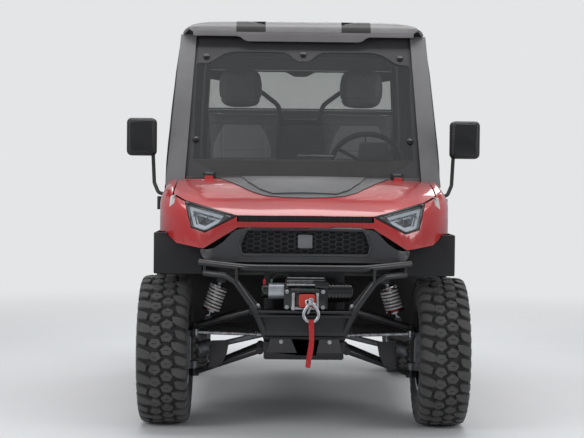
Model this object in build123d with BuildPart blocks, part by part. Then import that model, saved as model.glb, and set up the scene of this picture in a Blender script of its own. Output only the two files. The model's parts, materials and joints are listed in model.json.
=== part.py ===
from build123d import *
from math import cos, radians, sin
import os

# Side-by-side utility vehicle with an enclosed two-seat cab.
#
# Axes: +Z up, the nose points to -Y, +X is the driver's left. The origin is on
# the ground, under the middle of the vehicle's length and width. Millimetres.

os.makedirs("parts", exist_ok=True)

# driving sizes
overall_length = 3000
wheelbase = 1930
front_overhang = 520
axle_lead = 15       # the axles' middle lies this far ahead of the origin
track = 1270
tyre_radius = 343
tyre_section = 229
tread_width = 215
ground_clearance = 325

cab_half_base = 680
cab_half_top = 628
cab_top = 1868
floor_top = 450
belt_height = 1100

# shared fits
seat_gap = 0.3       # between pieces that rest on each other
pin_gap = 0.3        # radial, at pins and shafts
panel_gap = 6        # round panels that move

front_axle = -wheelbase / 2 - axle_lead
rear_axle = front_axle + wheelbase
front_end = front_axle - front_overhang
rear_end = front_end + overall_length
half_track = track / 2


# helpers
def save(builder, label):
    builder.part.label = label
    export_step(builder.part, f"parts/{label}.step")


def save_largest(builder, label):
    """Saves the builder's largest solid; cuts by its neighbours leave slivers beside it."""
    with BuildPart() as kept:
        add(builder.part.solids().sort_by(SortBy.VOLUME)[-1])
    save(kept, label)


def block(x0, x1, y0, y1, z0, z1, mode=Mode.ADD):
    """Box between two corners, in the current part."""
    with Locations(((x0 + x1) / 2, (y0 + y1) / 2, (z0 + z1) / 2)):
        Box(abs(x1 - x0), abs(y1 - y0), abs(z1 - z0), mode=mode)


def side_prism(points, x0, x1, mode=Mode.ADD):
    """Outline in side view (Y, Z), carried across from x0 to x1."""
    with BuildSketch(Plane.YZ.offset(x0)) as outline:
        with BuildLine():
            Polyline(*points, close=True)
        make_face()
    extrude(to_extrude=outline.sketch, amount=x1 - x0, mode=mode)


def front_prism(points, y0, y1, mode=Mode.ADD):
    """Outline in front view (X, Z), carried back from y0 to y1."""
    with BuildSketch(Plane.XZ.offset(-y0)) as outline:
        with BuildLine():
            Polyline(*points, close=True)
        make_face()
    extrude(to_extrude=outline.sketch, amount=y0 - y1, mode=mode)


def bar(start, end, radius, mode=Mode.ADD):
    """Straight round bar between two points."""
    run = Vector(*end) - Vector(*start)
    with BuildSketch(Plane(origin=start, z_dir=run)) as section:
        Circle(radius)
    extrude(to_extrude=section.sketch, amount=run.length, mode=mode)


def bent_tube(points, bend, radius):
    """Round tube along straight runs joined by arcs."""
    with BuildPart() as tube:
        with BuildLine() as route:
            FilletPolyline(*points, radius=bend)
        wire = route.wires()[0]
        with BuildSketch(Plane(origin=wire @ 0, z_dir=wire % 0)):
            Circle(radius)
        sweep(path=wire)
    return tube.part


def both_sides(points):
    """The same outline with X turned round, in the opposite order."""
    return [(-x, z) for x, z in reversed(points)]


# frame
rail_x = 160
rail_width = 40
rail_bottom = ground_clearance + 5
rail_top = rail_bottom + 45
rail_front = front_end + 280
rail_rear = rear_axle + 280
upper_rail_bottom = 690
upper_rail_top = 725
arm_rail_z = 530
arm_rail_x = rail_x + 40
post_gap = 120                       # from an axle to the frame posts beside it
rear_post_front = rear_axle - 350
rear_arm_post = 84
bed_rail_bottom = 735
bed_rail_top = 765
bed_hinge_y = 1350
bed_hinge_z = 770
bed_shaft_radius = 12
outrigger_half = 620
floor_thickness = 30
floor_bottom = floor_top - floor_thickness
shock_top_x = 380
shock_top_z = 668
shock_eye_radius = 15
horn_front = front_end + 140
horn_bottom = 385
horn_top = 420
rack_y = front_axle - 110
rack_z = 425
rack_housing_radius = 24
cab_rear = 700
fender_wall = 500                    # inner face of the rear mudguards
guard_radius = tyre_radius + 26      # inside of the rear mudguards
guard_reach = guard_radius - 39      # from the rear axle to the mudguards' cross members
receiver_z = 420
receiver_outer = 64
receiver_inner = 51
receiver_front = 1260


def frame_side():
    """Left half of the frame: rails, posts, arm rails and shock towers."""
    near = rail_x - rail_width / 2
    far = rail_x + rail_width / 2
    block(near, far, rail_front, rail_rear, rail_bottom, rail_top)
    block(near, far, horn_front, rail_front + 20, horn_bottom, horn_top)
    block(near, far, rail_front, rail_front + 40, rail_bottom, horn_top)
    for post_y in (front_axle - post_gap - 100, front_axle + post_gap):
        block(near, far, post_y - 18, post_y + 18, rail_top, upper_rail_bottom)
    block(near, far, front_axle - post_gap - 118, front_axle + 330, upper_rail_bottom, upper_rail_top)
    for post_y in (rear_post_front, rear_axle - rear_arm_post, rear_axle + post_gap + 40):
        block(near, far, post_y - 18, post_y + 18, rail_top, bed_rail_bottom)
    block(near, far, rear_post_front - 18, bed_hinge_y, bed_rail_bottom, bed_rail_top)
    for low, high in (
        (front_axle - post_gap - 118, front_axle + post_gap + 18),
        (rear_axle - rear_arm_post - 18, rear_axle + post_gap + 58),
    ):
        block(far - 5, arm_rail_x + 15, low, high, arm_rail_z - 15, arm_rail_z + 15)
    for axle in (front_axle, rear_axle):
        tower_top = upper_rail_top if axle == front_axle else bed_rail_bottom + 10
        tower_bottom = upper_rail_bottom
        block(near, shock_top_x + 20, axle - 20, axle + 20, tower_bottom, tower_top)
        for ear in (-1, 1):
            ear_face = ear * (15 + seat_gap)
            block(
                shock_top_x - 20, shock_top_x + 20,
                axle + ear_face, axle + ear_face + ear * 6,
                shock_top_z - shock_eye_radius, tower_bottom,
            )
    for cross_y in (front_axle + 480, front_axle + 980, rear_axle - 450):
        block(0, outrigger_half, cross_y - 20, cross_y + 20, rail_top, floor_bottom - seat_gap)
    for cross_y in (rear_axle - guard_reach, rear_axle + guard_reach):
        block(0, fender_wall - seat_gap, cross_y - 15, cross_y + 15,
              bed_rail_bottom - 15, bed_rail_bottom + 15)


with BuildPart() as frame:
    frame_side()
    inner = rail_x - rail_width / 2
    for cross_y in (
        rail_front + 20, front_axle, front_axle + post_gap, front_axle + 480, 0,
        rear_axle - 450, rear_axle - 250, rear_axle, rear_axle + post_gap + 40, rail_rear - 20,
    ):
        block(0, inner, cross_y - 20, cross_y + 20, rail_bottom, rail_top)
    block(0, inner, rack_y - 20, rack_y + 20, rail_bottom, rack_z - rack_housing_radius + 6)
    for cross_y in (front_axle - post_gap - 100, front_axle + 310):
        block(0, inner, cross_y - 18, cross_y + 18, upper_rail_bottom, upper_rail_top)
    for axle in (front_axle, rear_axle):
        block(0, inner, axle - 15, axle + 15, upper_rail_bottom, upper_rail_top)
    bar((0, bed_hinge_y, bed_hinge_z), (300, bed_hinge_y, bed_hinge_z), bed_shaft_radius)
    # steering rack housing, on its own cross member
    bar((0, rack_y, rack_z), (118, rack_y, rack_z), rack_housing_radius)
    bar((-1, rack_y, rack_z), (130, rack_y, rack_z), 10 + pin_gap, mode=Mode.SUBTRACT)
    mirror(about=Plane.YZ)
save(frame, "frame")

with BuildPart() as hitch_receiver:
    block(-receiver_outer / 2, receiver_outer / 2, receiver_front, rear_end,
          receiver_z - receiver_outer / 2, receiver_z + receiver_outer / 2)
    block(-rail_x - 18, rail_x + 18, rail_rear + seat_gap, receiver_front,
          rail_bottom, receiver_z + receiver_outer / 2)
    block(-receiver_inner / 2, receiver_inner / 2, receiver_front + 10, rear_end,
          receiver_z - receiver_inner / 2, receiver_z + receiver_inner / 2, mode=Mode.SUBTRACT)
    with Locations(Plane.YZ):
        with Locations((rear_end - 60, receiver_z)):
            Cylinder(8, receiver_outer * 2, mode=Mode.SUBTRACT)
save(hitch_receiver, "hitch_receiver")

# skid plates
skid_half = rail_x + 15
with BuildPart() as skid_plates:
    side_prism(
        [
            (horn_front - 25, 445), (horn_front - 5, 445), (rail_front + 15, rail_bottom - seat_gap),
            (rail_rear - 40, rail_bottom - seat_gap), (rail_rear - 40, ground_clearance),
            (rail_front + 5, ground_clearance),
        ],
        -skid_half, skid_half,
    )
    with Locations(Plane.XZ.offset(-horn_front)):
        with Locations((-105, 385), (105, 385)):
            Cylinder(9, 300, mode=Mode.SUBTRACT)
    add(frame.part, mode=Mode.SUBTRACT)
save(skid_plates, "skid_plates")

# front bumper
bumper_tube = 15
bumper_front = front_end + bumper_tube
bumper_top_z = 752
bumper_end_x = 462
winch_floor = 560
winch_shelf_half = rail_x + 54
upper_tube = bent_tube(
    [
        (-bumper_end_x, front_end + 130, bumper_top_z + 16),
        (-250, bumper_front, bumper_top_z),
        (250, bumper_front, bumper_top_z),
        (bumper_end_x, front_end + 130, bumper_top_z + 16),
    ],
    160, bumper_tube,
)
lower_tube = bent_tube(
    [
        (440, front_end + 120, 722), (345, front_end + 60, 716), (300, front_end + 42, 690),
        (rail_x + 60, front_end + 62, 574), (rail_x, horn_front + 20, horn_top + seat_gap),
    ],
    28, bumper_tube,
)
with BuildPart() as front_bumper:
    add(lower_tube)
    add(frame.part, mode=Mode.SUBTRACT)
    side_prism(
        [(front_end + 105, 722), (front_end + 135, 722), (front_end + 142, 768), (front_end + 112, 768)],
        434, 446,
    )
    side_prism(
        [
            (front_end + 22, 690), (front_end + 60, 690),
            (front_end + 30, bumper_top_z), (front_end + 2, bumper_top_z),
        ],
        292, 304,
    )
    for cross_z, radius in ((winch_floor - 2, 6), (winch_floor - 20, 6)):
        bar((0, front_end + 68, cross_z), (222, front_end + 68, cross_z), radius)
    block(0, winch_shelf_half, front_end + 70, front_end + 215, winch_floor - 4, winch_floor)
    mirror(about=Plane.YZ)
    add(upper_tube)
    block(-rail_x - 30, rail_x + 30, horn_front - 24, horn_front - 18, 450, winch_floor - 25)
    add(skid_plates.part, mode=Mode.SUBTRACT)
save_largest(front_bumper, "front_bumper")

# winch
winch_y = front_end + 140
winch_z = 628
roller_y = winch_y - 62
roller_radius = 9.5
with BuildPart() as winch:
    bar((-190, winch_y, winch_z + 16), (-164, winch_y, winch_z + 16), 31)
    bar((-164, winch_y, winch_z + 16), (-80, winch_y, winch_z + 16), 36)
    bar((-80, winch_y, winch_z + 16), (100, winch_y, winch_z + 16), 24)
    bar((100, winch_y, winch_z + 12), (210, winch_y, winch_z + 12), 44)
    for foot_x in (-92, 84):
        block(foot_x, foot_x + 16, winch_y - 42, winch_y + 42, winch_floor + seat_gap, winch_z + 56)
    for tie_y in (-34, 34):
        bar((-80, winch_y + tie_y, winch_z + 46), (100, winch_y + tie_y, winch_z + 46), 7)
    block(-86, 94, winch_y - 36, winch_y + 36, winch_z + 56, winch_z + 86)
    # roller fairlead on the front of the feet
    block(-92, 92, winch_y - 54, winch_y - 42, winch_z - 62, winch_z + 30)
    block(-62, 62, winch_y - 54, winch_y - 42, winch_z - 44, winch_z + 10, mode=Mode.SUBTRACT)
    for roller_z in (-52, 20):
        bar((-66, roller_y, winch_z + roller_z), (66, roller_y, winch_z + roller_z), roller_radius)
    for roller_x in (-54, 54):
        bar((roller_x, roller_y + 1, winch_z - 64), (roller_x, roller_y + 1, winch_z + 32),
            roller_radius - 1.5)
save(winch, "winch")

hook_x = 24
hook_y = front_end + 50
strap_thick = 3
strap_width = 24
strap_top = 510.6
strap_middle = 430
strap_bottom = 318
with BuildPart() as winch_hook:
    # clevis, thimble bar and hook bow, hanging in front of the fairlead
    block(hook_x - 30, hook_x + 30, hook_y - 12, roller_y - roller_radius - seat_gap, 592, winch_z + 20)
    block(hook_x - 12, hook_x + 12, hook_y - 8, hook_y + 8, 562, 592)
    with BuildSketch(Plane.XZ.offset(-hook_y)) as bow:
        with Locations((hook_x, 545)):
            Circle(34)
            Circle(19, mode=Mode.SUBTRACT)
        with Locations((hook_x - 30, 562)):
            Rectangle(26, 22, mode=Mode.SUBTRACT)
    extrude(to_extrude=bow.sketch, amount=8, both=True)
save(winch_hook, "winch_hook")

with BuildPart() as hook_strap:
    side_prism(
        [
            (hook_y - strap_thick / 2, strap_top), (hook_y + strap_thick / 2, strap_top),
            (hook_y + strap_thick / 2 - 2, strap_middle), (hook_y + strap_thick / 2 + 6, strap_bottom),
            (hook_y - strap_thick / 2 + 6, strap_bottom), (hook_y - strap_thick / 2 - 2, strap_middle),
        ],
        hook_x - strap_width / 2, hook_x + strap_width / 2,
    )
save(hook_strap, "hook_strap")

# nose shell
nose_skin = 18
nose_bottom = 777
nose_rear = -660
slot_low = 946
slot_high = 973
cheek_corner = (450, 826)
surround_inner = (298, 921)
fender_bottom = 890
fender_half = 664
hood_half = 600

# each station: Y, half width, corner Z, crown Z, corner radius
nose_stations = [
    (nose_rear, fender_half, 1126, 1142, 40),
    (front_axle + 30, fender_half + 4, 1082, 1108, 64),
    (front_axle - 170, 626, 1030, 1058, 70),
    (front_axle - 290, 534, 990, 1014, 60),
    (front_axle - 362, 398, 958, 976, 44),
]


def nose_loft(inset):
    """The nose as one solid, its skin moved inwards by the inset."""
    sections = []
    last = len(nose_stations) - 1
    base = nose_bottom - 30 - 3 * abs(inset)
    for number, (y, half, corner, crown, radius) in enumerate(nose_stations):
        place = y + (inset if number == last else 0) + (30 if number == 0 and inset > 0 else 0)
        side = half - inset
        with BuildSketch(Plane.XZ.offset(-place)) as section:
            with BuildLine():
                Line((side, base), (side, corner - inset))
                ThreePointArc((side, corner - inset), (0, crown - inset), (-side, corner - inset))
                Line((-side, corner - inset), (-side, base))
                Line((-side, base), (side, base))
            make_face()
            fillet(section.vertices().group_by(Axis.Y)[-1], radius - inset / 2)
        sections.append(section.sketch)
    with BuildPart() as nose:
        loft(sections=sections)
    return nose.part


nose_outer = nose_loft(0)
nose_inner = nose_loft(nose_skin)
lamp_inner = nose_loft(60)
back_of_nose = nose_rear + 1
front_of_nose = front_end


def hood_outline(gap):
    half = [
        (hood_half + gap, 1400), (hood_half + gap, 1064 - gap),
        (541, 1036 - gap), (302, slot_high + 1 - gap),
    ]
    return half + both_sides(half)


def lamp_outline(gap):
    return [(302 - gap * 2, 968 + gap), (541 + gap, 1030 + gap), (506 + gap, 915 - gap), (443, 896 - gap)]


def below_cheeks(gap):
    """Everything under the cheeks: the surround's place and the open wheel arches."""
    half = [
        (800, 500), (800, fender_bottom + gap), (632, fender_bottom + gap), (574, 846 + gap),
        (cheek_corner[0], cheek_corner[1] + gap), (surround_inner[0], surround_inner[1] + gap),
    ]
    return half + both_sides(half)


cowl_top = 1125
hood_hinge_y = nose_rear + 20
hood_hinge_z = 1152
hood_hinge_x = 455
hood_pin = 5
with BuildPart() as hood:
    add(nose_outer)
    add(nose_inner, mode=Mode.SUBTRACT)
    front_prism(hood_outline(0), front_of_nose, nose_rear - panel_gap, mode=Mode.INTERSECT)
    for side in (-1, 1):
        x = side * hood_hinge_x
        block(x - 20, x + 20, nose_rear - 60, nose_rear - 8, 1105, 1146)
        block(x - 20, x + 20, nose_rear - 8, hood_hinge_y - 2, cowl_top + panel_gap, hood_hinge_z - 2)
        bar((x - 20, hood_hinge_y, hood_hinge_z), (x + 20, hood_hinge_y, hood_hinge_z), 11)
        bar((x - 30, hood_hinge_y, hood_hinge_z), (x + 30, hood_hinge_y, hood_hinge_z),
            hood_pin + pin_gap, mode=Mode.SUBTRACT)
save(hood, "hood")

with BuildPart() as front_fenders:
    add(nose_outer)
    add(nose_inner, mode=Mode.SUBTRACT)
    front_prism(hood_outline(panel_gap), front_of_nose, back_of_nose + 10, mode=Mode.SUBTRACT)
    front_prism(below_cheeks(0), front_of_nose, back_of_nose + 10, mode=Mode.SUBTRACT)
    front_prism(lamp_outline(seat_gap), front_of_nose, back_of_nose, mode=Mode.SUBTRACT)
    front_prism([(-x, z) for x, z in lamp_outline(seat_gap)], front_of_nose, back_of_nose, mode=Mode.SUBTRACT)
    block(-302, 302, front_of_nose, front_axle, slot_low, slot_high + 10, mode=Mode.SUBTRACT)
save(front_fenders, "front_fenders")

with BuildPart() as headlights:
    add(nose_outer)
    add(lamp_inner, mode=Mode.SUBTRACT)
    front_prism(lamp_outline(0), front_of_nose, front_axle + 60, mode=Mode.INTERSECT)
    mirror(about=Plane.YZ)
save(headlights, "headlights")

grille_outline = [(262, 912), (284, 838), (272, 806)]
with BuildPart() as bumper_cover:
    add(nose_loft(-10))
    add(nose_loft(30), mode=Mode.SUBTRACT)
    surround = [
        (surround_inner[0], surround_inner[1] - seat_gap), (cheek_corner[0], cheek_corner[1] - seat_gap),
        (450, 800), (400, nose_bottom),
    ]
    front_prism(surround + both_sides(surround), front_of_nose, front_axle - 200, mode=Mode.INTERSECT)
    front_prism(grille_outline + both_sides(grille_outline), front_of_nose, front_axle, mode=Mode.SUBTRACT)
save(bumper_cover, "bumper_cover")

with BuildPart() as grille:
    face = front_axle - 362
    grille_seat = [(262 - 0.6, 912 - seat_gap), (284 - 0.6, 838), (272 - 0.6, 806 + seat_gap)]
    front_prism(grille_seat + both_sides(grille_seat), face + 14, face + 24)
    block(-276, 276, face + nose_skin + seat_gap, face + nose_skin + 8, slot_low - 12, slot_high - 12)
    # stays from the back of the grille to the frame
    for side in (-1, 1):
        near = side * 150 - 10
        far = side * 150 + 10
        block(near, far, face + 24, front_axle - post_gap - 119, 850, 862)
        block(near, far, front_axle - post_gap - 130, front_axle - post_gap - 119,
              upper_rail_top + seat_gap, 862)
        block(near, far, face + 31, face + 39, 850, 950)
        block(near, far, face + nose_skin + seat_gap, face + 39, 936, 950)
save(grille, "grille")

flare_radius = tyre_radius + 66
flare_half = 680
flare_front = front_axle - 196
flare_rear = nose_rear + 20
with BuildPart() as front_flares:
    block(460, flare_half, flare_front, flare_rear, 700, fender_bottom - seat_gap)
    block(472, flare_half - 10, flare_front + 10, flare_rear - 10, 770, 900, mode=Mode.SUBTRACT)
    with Locations(Plane.YZ):
        with Locations((front_axle, tyre_radius)):
            Cylinder(flare_radius, 2000, mode=Mode.SUBTRACT)
    mirror(about=Plane.YZ)
    add(front_fenders.part, mode=Mode.SUBTRACT)
save(front_flares, "front_flares")

# cab tub
tub_front = -545
tub_half = 655
post_inner = 575
post_rear = -510
bulkhead_rear = 571.7
bulkhead_top = 800
hinge_x = 706
hinge_y = post_rear - 2
hinge_heights = (640, 1010)
hinge_pin = 6
hinge_eye = 12
with BuildPart() as cab_tub:
    block(0, tub_half, tub_front, bulkhead_rear, floor_bottom, floor_top)
    block(0, tub_half, tub_front, tub_front + 15, floor_top, 860)
    block(post_inner, tub_half, tub_front, post_rear, floor_top, belt_height)
    block(post_inner, tub_half, nose_rear + seat_gap, post_rear, 900, belt_height)
    block(tub_half - 35, tub_half, post_rear, bulkhead_rear, floor_top, floor_top + 20)
    block(0, tub_half, bulkhead_rear - 18, bulkhead_rear, floor_top, bulkhead_top)
    # door hinge pins, each between two ears on the front post
    for z in hinge_heights:
        bar((hinge_x, hinge_y, z - 32), (hinge_x, hinge_y, z + 32), hinge_pin)
        for ear in (-1, 1):
            ear_z = z + ear * 27.5
            block(tub_half - 2, hinge_x, hinge_y - 12, hinge_y + 2, ear_z - 5, ear_z + 5)
            bar((hinge_x, hinge_y, ear_z - 5), (hinge_x, hinge_y, ear_z + 5), hinge_eye)
        block(tub_half - 2, tub_half + 8, hinge_y - 33, hinge_y - 4, z - 32, z + 32)
    mirror(about=Plane.YZ)
save(cab_tub, "cab_tub")

with BuildPart() as cowl:
    block(-post_inner + seat_gap, post_inner - seat_gap, nose_rear + 6, -560, 1060, cowl_top)
    for side in (-1, 1):
        x = side * hood_hinge_x
        for ear in (-1, 1):
            ear_x = x + ear * 26
            block(ear_x - 5, ear_x + 5, nose_rear + 8, nose_rear + 34, cowl_top, hood_hinge_z + 10)
        bar((x - 30, hood_hinge_y, hood_hinge_z), (x + 30, hood_hinge_y, hood_hinge_z), hood_pin)
save(cowl, "cowl")

# pillars, glass, roof
pillar_foot_y = -600
pillar_head_y = -190
pillar_depth = 70
glass_offset = 15
glass_thick = 6
pillar_slope = (pillar_head_y - pillar_foot_y) / (cab_top - belt_height)


def pillar_y(z):
    """Middle of the front pillar, in side view, at a height."""
    return pillar_foot_y + (z - belt_height) * pillar_slope


with BuildPart() as pillar_covers:
    with BuildSketch(Plane.XY.offset(belt_height + seat_gap)):
        with Locations((624, pillar_y(belt_height))):
            Rectangle(92, pillar_depth)
    with BuildSketch(Plane.XY.offset(cab_top)):
        with Locations((585, pillar_head_y)):
            Rectangle(80, pillar_depth)
    loft()
    side_prism(
        [
            (-600, belt_height + seat_gap), (post_rear, belt_height + seat_gap),
            (post_rear, belt_height + 100), (-560, belt_height + 60),
        ],
        605, tub_half,
    )
    mirror(about=Plane.YZ)
save(pillar_covers, "pillar_covers")

with BuildPart() as windshield:
    low = cowl_top + seat_gap
    high = cab_top - seat_gap
    front_low = pillar_y(low) - glass_offset
    front_high = pillar_y(high) - glass_offset
    side_prism(
        [
            (front_low, low), (front_low + glass_thick, low),
            (front_high + glass_thick, high), (front_high, high),
        ],
        -600, 600,
    )
    add(pillar_covers.part, mode=Mode.SUBTRACT)
save_largest(windshield, "windshield")

roof_high = cab_top + 107
roof_front = -268
roof_rear = 745
roof_skin = 20
roof_half = 616


def roof_profile(inset):
    """Roof section across the cab, its skin moved inwards by the inset."""
    half = roof_half - inset
    foot = cab_top - 60 if inset else cab_top + seat_gap
    crown = roof_high - inset
    base = cab_top - inset
    foot_rim = base + 6
    start = roof_front - 5 + inset
    with BuildSketch(Plane.XZ.offset(-start)) as profile:
        with BuildLine():
            Line((-half, foot), (-half, foot_rim))
            Spline(
                (-half, foot_rim), (-half + 16, base + 24), (-half + 54, base + 54),
                (-480, base + 77), (-300, base + 94), (0, crown), (300, base + 94),
                (480, base + 77), (half - 54, base + 54), (half - 16, base + 24), (half, foot_rim),
            )
            Line((half, foot_rim), (half, foot))
            Line((half, foot), (-half, foot))
        make_face()
    return profile.sketch


with BuildPart() as roof:
    extrude(to_extrude=roof_profile(0), amount=-(roof_rear - roof_front + 10))
    side_prism(
        [
            (-236, cab_top + seat_gap), (roof_front, cab_top + 12), (roof_front + 4, cab_top + 34),
            (-238, cab_top + 56), (-170, cab_top + 75), (0, cab_top + 91), (300, roof_high - 3),
            (560, roof_high), (700, cab_top + 92), (roof_rear, cab_top + 52),
            (roof_rear, cab_top + seat_gap),
        ],
        -700, 700, mode=Mode.INTERSECT,
    )
    hollow_length = roof_rear - roof_front - 2 * roof_skin - 10
    extrude(to_extrude=roof_profile(roof_skin), amount=-hollow_length, mode=Mode.SUBTRACT)
    block(-560, 560, -300, -230, cab_top - 10, cab_top + 5, mode=Mode.SUBTRACT)
save(roof, "roof")

# cab sides
door_thick = 35
door_front = -500
door_rear = 560
panel_front = door_rear + 12
side_outer = [(655, 470), (683, 780), (cab_half_base, belt_height), (662, 1500), (cab_half_top, cab_top)]
door_top = cab_top - 14
window_top = cab_top - 78


def side_band(y0, y1, thick, gap=0):
    """The cab's side as an upright curved band from y0 to y1, on the +X side."""
    outer = [(x - gap, z) for x, z in side_outer]
    inner = [(x - thick, z) for x, z in side_outer]
    with BuildSketch(Plane.XZ.offset(-y0)) as band:
        with BuildLine():
            Spline(*outer)
            Line(outer[-1], inner[-1])
            Spline(*reversed(inner))
            Line(inner[0], outer[0])
        make_face()
    extrude(to_extrude=band.sketch, amount=y0 - y1)


window_bottom = 1165
rear_window_half = 535
rear_window_low = 1524
rear_window_high = 1752
rear_wall_thick = 30
with BuildPart() as rear_panel:
    side_band(panel_front, cab_rear, door_thick)
    mirror(about=Plane.YZ)
    block(-700, 700, panel_front - 5, cab_rear + 5, 400, 640, mode=Mode.SUBTRACT)
    wall = [
        (640, 640), (648, 780), (645, belt_height), (627, 1500), (cab_half_top - door_thick + 5, cab_top),
    ]
    front_prism(wall + both_sides(wall), cab_rear - rear_wall_thick, cab_rear)
    block(-rear_window_half, rear_window_half, 500, 800, rear_window_low, rear_window_high,
          mode=Mode.SUBTRACT)
    block(-600, 600, panel_front - 5, cab_rear + 5, 600, bed_rail_top + seat_gap, mode=Mode.SUBTRACT)
save(rear_panel, "rear_panel")

with BuildPart() as rear_window:
    block(-rear_window_half + seat_gap, rear_window_half - seat_gap, cab_rear - 18, cab_rear - 12,
          rear_window_low + seat_gap, rear_window_high - seat_gap)
save(rear_window, "rear_window")


def above_line(z, gap):
    """Door edge behind the sloping front pillar."""
    return pillar_y(z) + pillar_depth / 2 + gap


door_outline = [
    (door_front, 480), (door_front, belt_height + 100),
    (above_line(door_top, 10), door_top), (door_rear, door_top),
    (door_rear, 900), (door_rear - 30, 480),
]
window_outline = [
    (-395, window_bottom), (-395, 1242),
    (above_line(window_top, 70), window_top), (door_rear - 65, window_top),
    (door_rear - 65, window_bottom),
]
with BuildPart() as left_door:
    side_band(door_front - 100, door_rear + 100, door_thick)
    side_prism(door_outline, 500, 800, mode=Mode.INTERSECT)
    side_prism(window_outline, 500, 800, mode=Mode.SUBTRACT)
    for z in hinge_heights:
        block(670, hinge_x - 3, door_front + 2, door_front + 60, z - 22, z + 22)
        block(hinge_x - 24, hinge_x, hinge_y + 3, door_front + 60, z - 22, z + 22)
        bar((hinge_x, hinge_y, z - 22), (hinge_x, hinge_y, z + 22), hinge_eye)
        bar((hinge_x, hinge_y, z - 30), (hinge_x, hinge_y, z + 30), hinge_pin + pin_gap, mode=Mode.SUBTRACT)
save(left_door, "left_door")

with BuildPart() as right_door:
    mirror(left_door.part, about=Plane.YZ)
save(right_door, "right_door")

with BuildPart() as left_door_glass:
    side_band(door_front, door_rear, door_thick / 2 + 3, gap=door_thick / 2 - 3)
    side_prism(
        [
            (-395 + seat_gap, window_bottom + seat_gap), (-395 + seat_gap, 1241),
            (above_line(window_top, 71), window_top - seat_gap),
            (door_rear - 65 - seat_gap, window_top - seat_gap),
            (door_rear - 65 - seat_gap, window_bottom + seat_gap),
        ],
        500, 800, mode=Mode.INTERSECT,
    )
save(left_door_glass, "left_door_glass")

with BuildPart() as right_door_glass:
    mirror(left_door_glass.part, about=Plane.YZ)
save(right_door_glass, "right_door_glass")


# roll cage
cage_tube = 22
hoop_y = 500
hoop_half = 545
hoop_top = cab_top - 36
hoop = bent_tube(
    [
        (-hoop_half, hoop_y, floor_top + seat_gap), (-hoop_half, hoop_y, 1400),
        (-hoop_half + 20, hoop_y, hoop_top), (hoop_half - 20, hoop_y, hoop_top),
        (hoop_half, hoop_y, 1400), (hoop_half, hoop_y, floor_top + seat_gap),
    ],
    90, cage_tube,
)
headrest_x = 335
headrest_bar_z = 1640
cross_bar_z = 1450
rest_tube = bent_tube(
    [
        (100, hoop_y, cross_bar_z), (125, hoop_y, cross_bar_z + 95),
        (225, hoop_y, headrest_bar_z - 20), (headrest_x + 40, hoop_y, headrest_bar_z),
    ],
    70, 13,
)
with BuildPart() as roll_cage:
    bar((0, hoop_y, cross_bar_z), (hoop_half - 2, hoop_y, cross_bar_z), 17)
    add(rest_tube)
    bar((hoop_half - 21, hoop_y, hoop_top), (hoop_half - 25, pillar_head_y + 10, hoop_top), 20)
    bar((0, -110, hoop_top), (hoop_half - 25, -110, hoop_top), 20)
    mirror(about=Plane.YZ)
    add(hoop)
    add(pillar_covers.part, mode=Mode.SUBTRACT)
save(roll_cage, "roll_cage")

# seats and dash
seat_base_top = 760
seat_half_width = 230
cushion_top = 880
with BuildPart() as seat_base:
    block(-520, 520, -130, 460, floor_top + seat_gap, seat_base_top)
save(seat_base, "seat_base")

with BuildPart() as seat_cushions:
    block(headrest_x - seat_half_width, headrest_x + seat_half_width - 40, -150, 300,
          seat_base_top + seat_gap, cushion_top)
    fillet(seat_cushions.edges().filter_by(Axis.Z), 40)
    fillet(seat_cushions.faces().sort_by(Axis.Z)[-1].edges(), 30)
    mirror(about=Plane.YZ)
save(seat_cushions, "seat_cushions")

with BuildPart() as seat_backs:
    side_prism(
        [(301, seat_base_top + seat_gap), (415, seat_base_top + seat_gap), (470, 1495), (375, 1515)],
        headrest_x - seat_half_width + 10, headrest_x + seat_half_width - 50,
    )
    fillet(seat_backs.edges().filter_by(Axis.X), 25)
    mirror(about=Plane.YZ)
save(seat_backs, "seat_backs")

with BuildPart() as headrests:
    block(headrest_x - 116, headrest_x + 116, 365, hoop_y - 13 - seat_gap, 1530, 1740)
    fillet(headrests.edges().filter_by(Axis.Y), 50)
    fillet(headrests.faces().sort_by(Axis.Y)[0].edges(), 25)
    mirror(about=Plane.YZ)
save(headrests, "headrests")

dash_half = post_inner - seat_gap
dash_outline = [
    (-560 + seat_gap, 880), (-560 + seat_gap, 1118), (-450, 1170), (-345, 1232),
    (-272, 1222), (-252, 1090), (-320, 890),
]
wheel_centre = (headrest_x, -130, 1220)
wheel_tilt = 35
column_dir = (0, cos(radians(wheel_tilt)), sin(radians(wheel_tilt)))


def along_column(distance):
    """Point on the steering column, forward of the wheel's centre."""
    return tuple(c - distance * d for c, d in zip(wheel_centre, column_dir))


with BuildPart() as dashboard:
    side_prism(dash_outline, -dash_half, dash_half)
    fillet(dashboard.edges().filter_by(Axis.X).sort_by(Axis.Y)[-3:], 20)
save(dashboard, "dashboard")

with BuildPart() as steering_column:
    bar(along_column(34), along_column(190), 30)
    bar(along_column(-4), along_column(40), 9)
    add(dashboard.part, mode=Mode.SUBTRACT)
save_largest(steering_column, "steering_column")

rim_radius = 180
with BuildPart() as steering_wheel:
    with BuildSketch(Plane.XZ):
        with Locations((rim_radius, 0)):
            Circle(14)
    revolve(axis=Axis.Z)
    with BuildSketch(Plane.XY.offset(-26)):
        Circle(46)
    extrude(amount=40)
    for turn in (90, 210, 330):
        tip = (rim_radius * cos(radians(turn)), rim_radius * sin(radians(turn)), 0)
        bar((0, 0, -8), tip, 9)
    bar((0, 0, -40), (0, 0, 6), 9 + pin_gap, mode=Mode.SUBTRACT)
wheel_plane = Plane(origin=wheel_centre, x_dir=(1, 0, 0), z_dir=column_dir)
with BuildPart() as steering_wheel_placed:
    add(wheel_plane.location * steering_wheel.part)
save(steering_wheel_placed, "steering_wheel")

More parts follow.
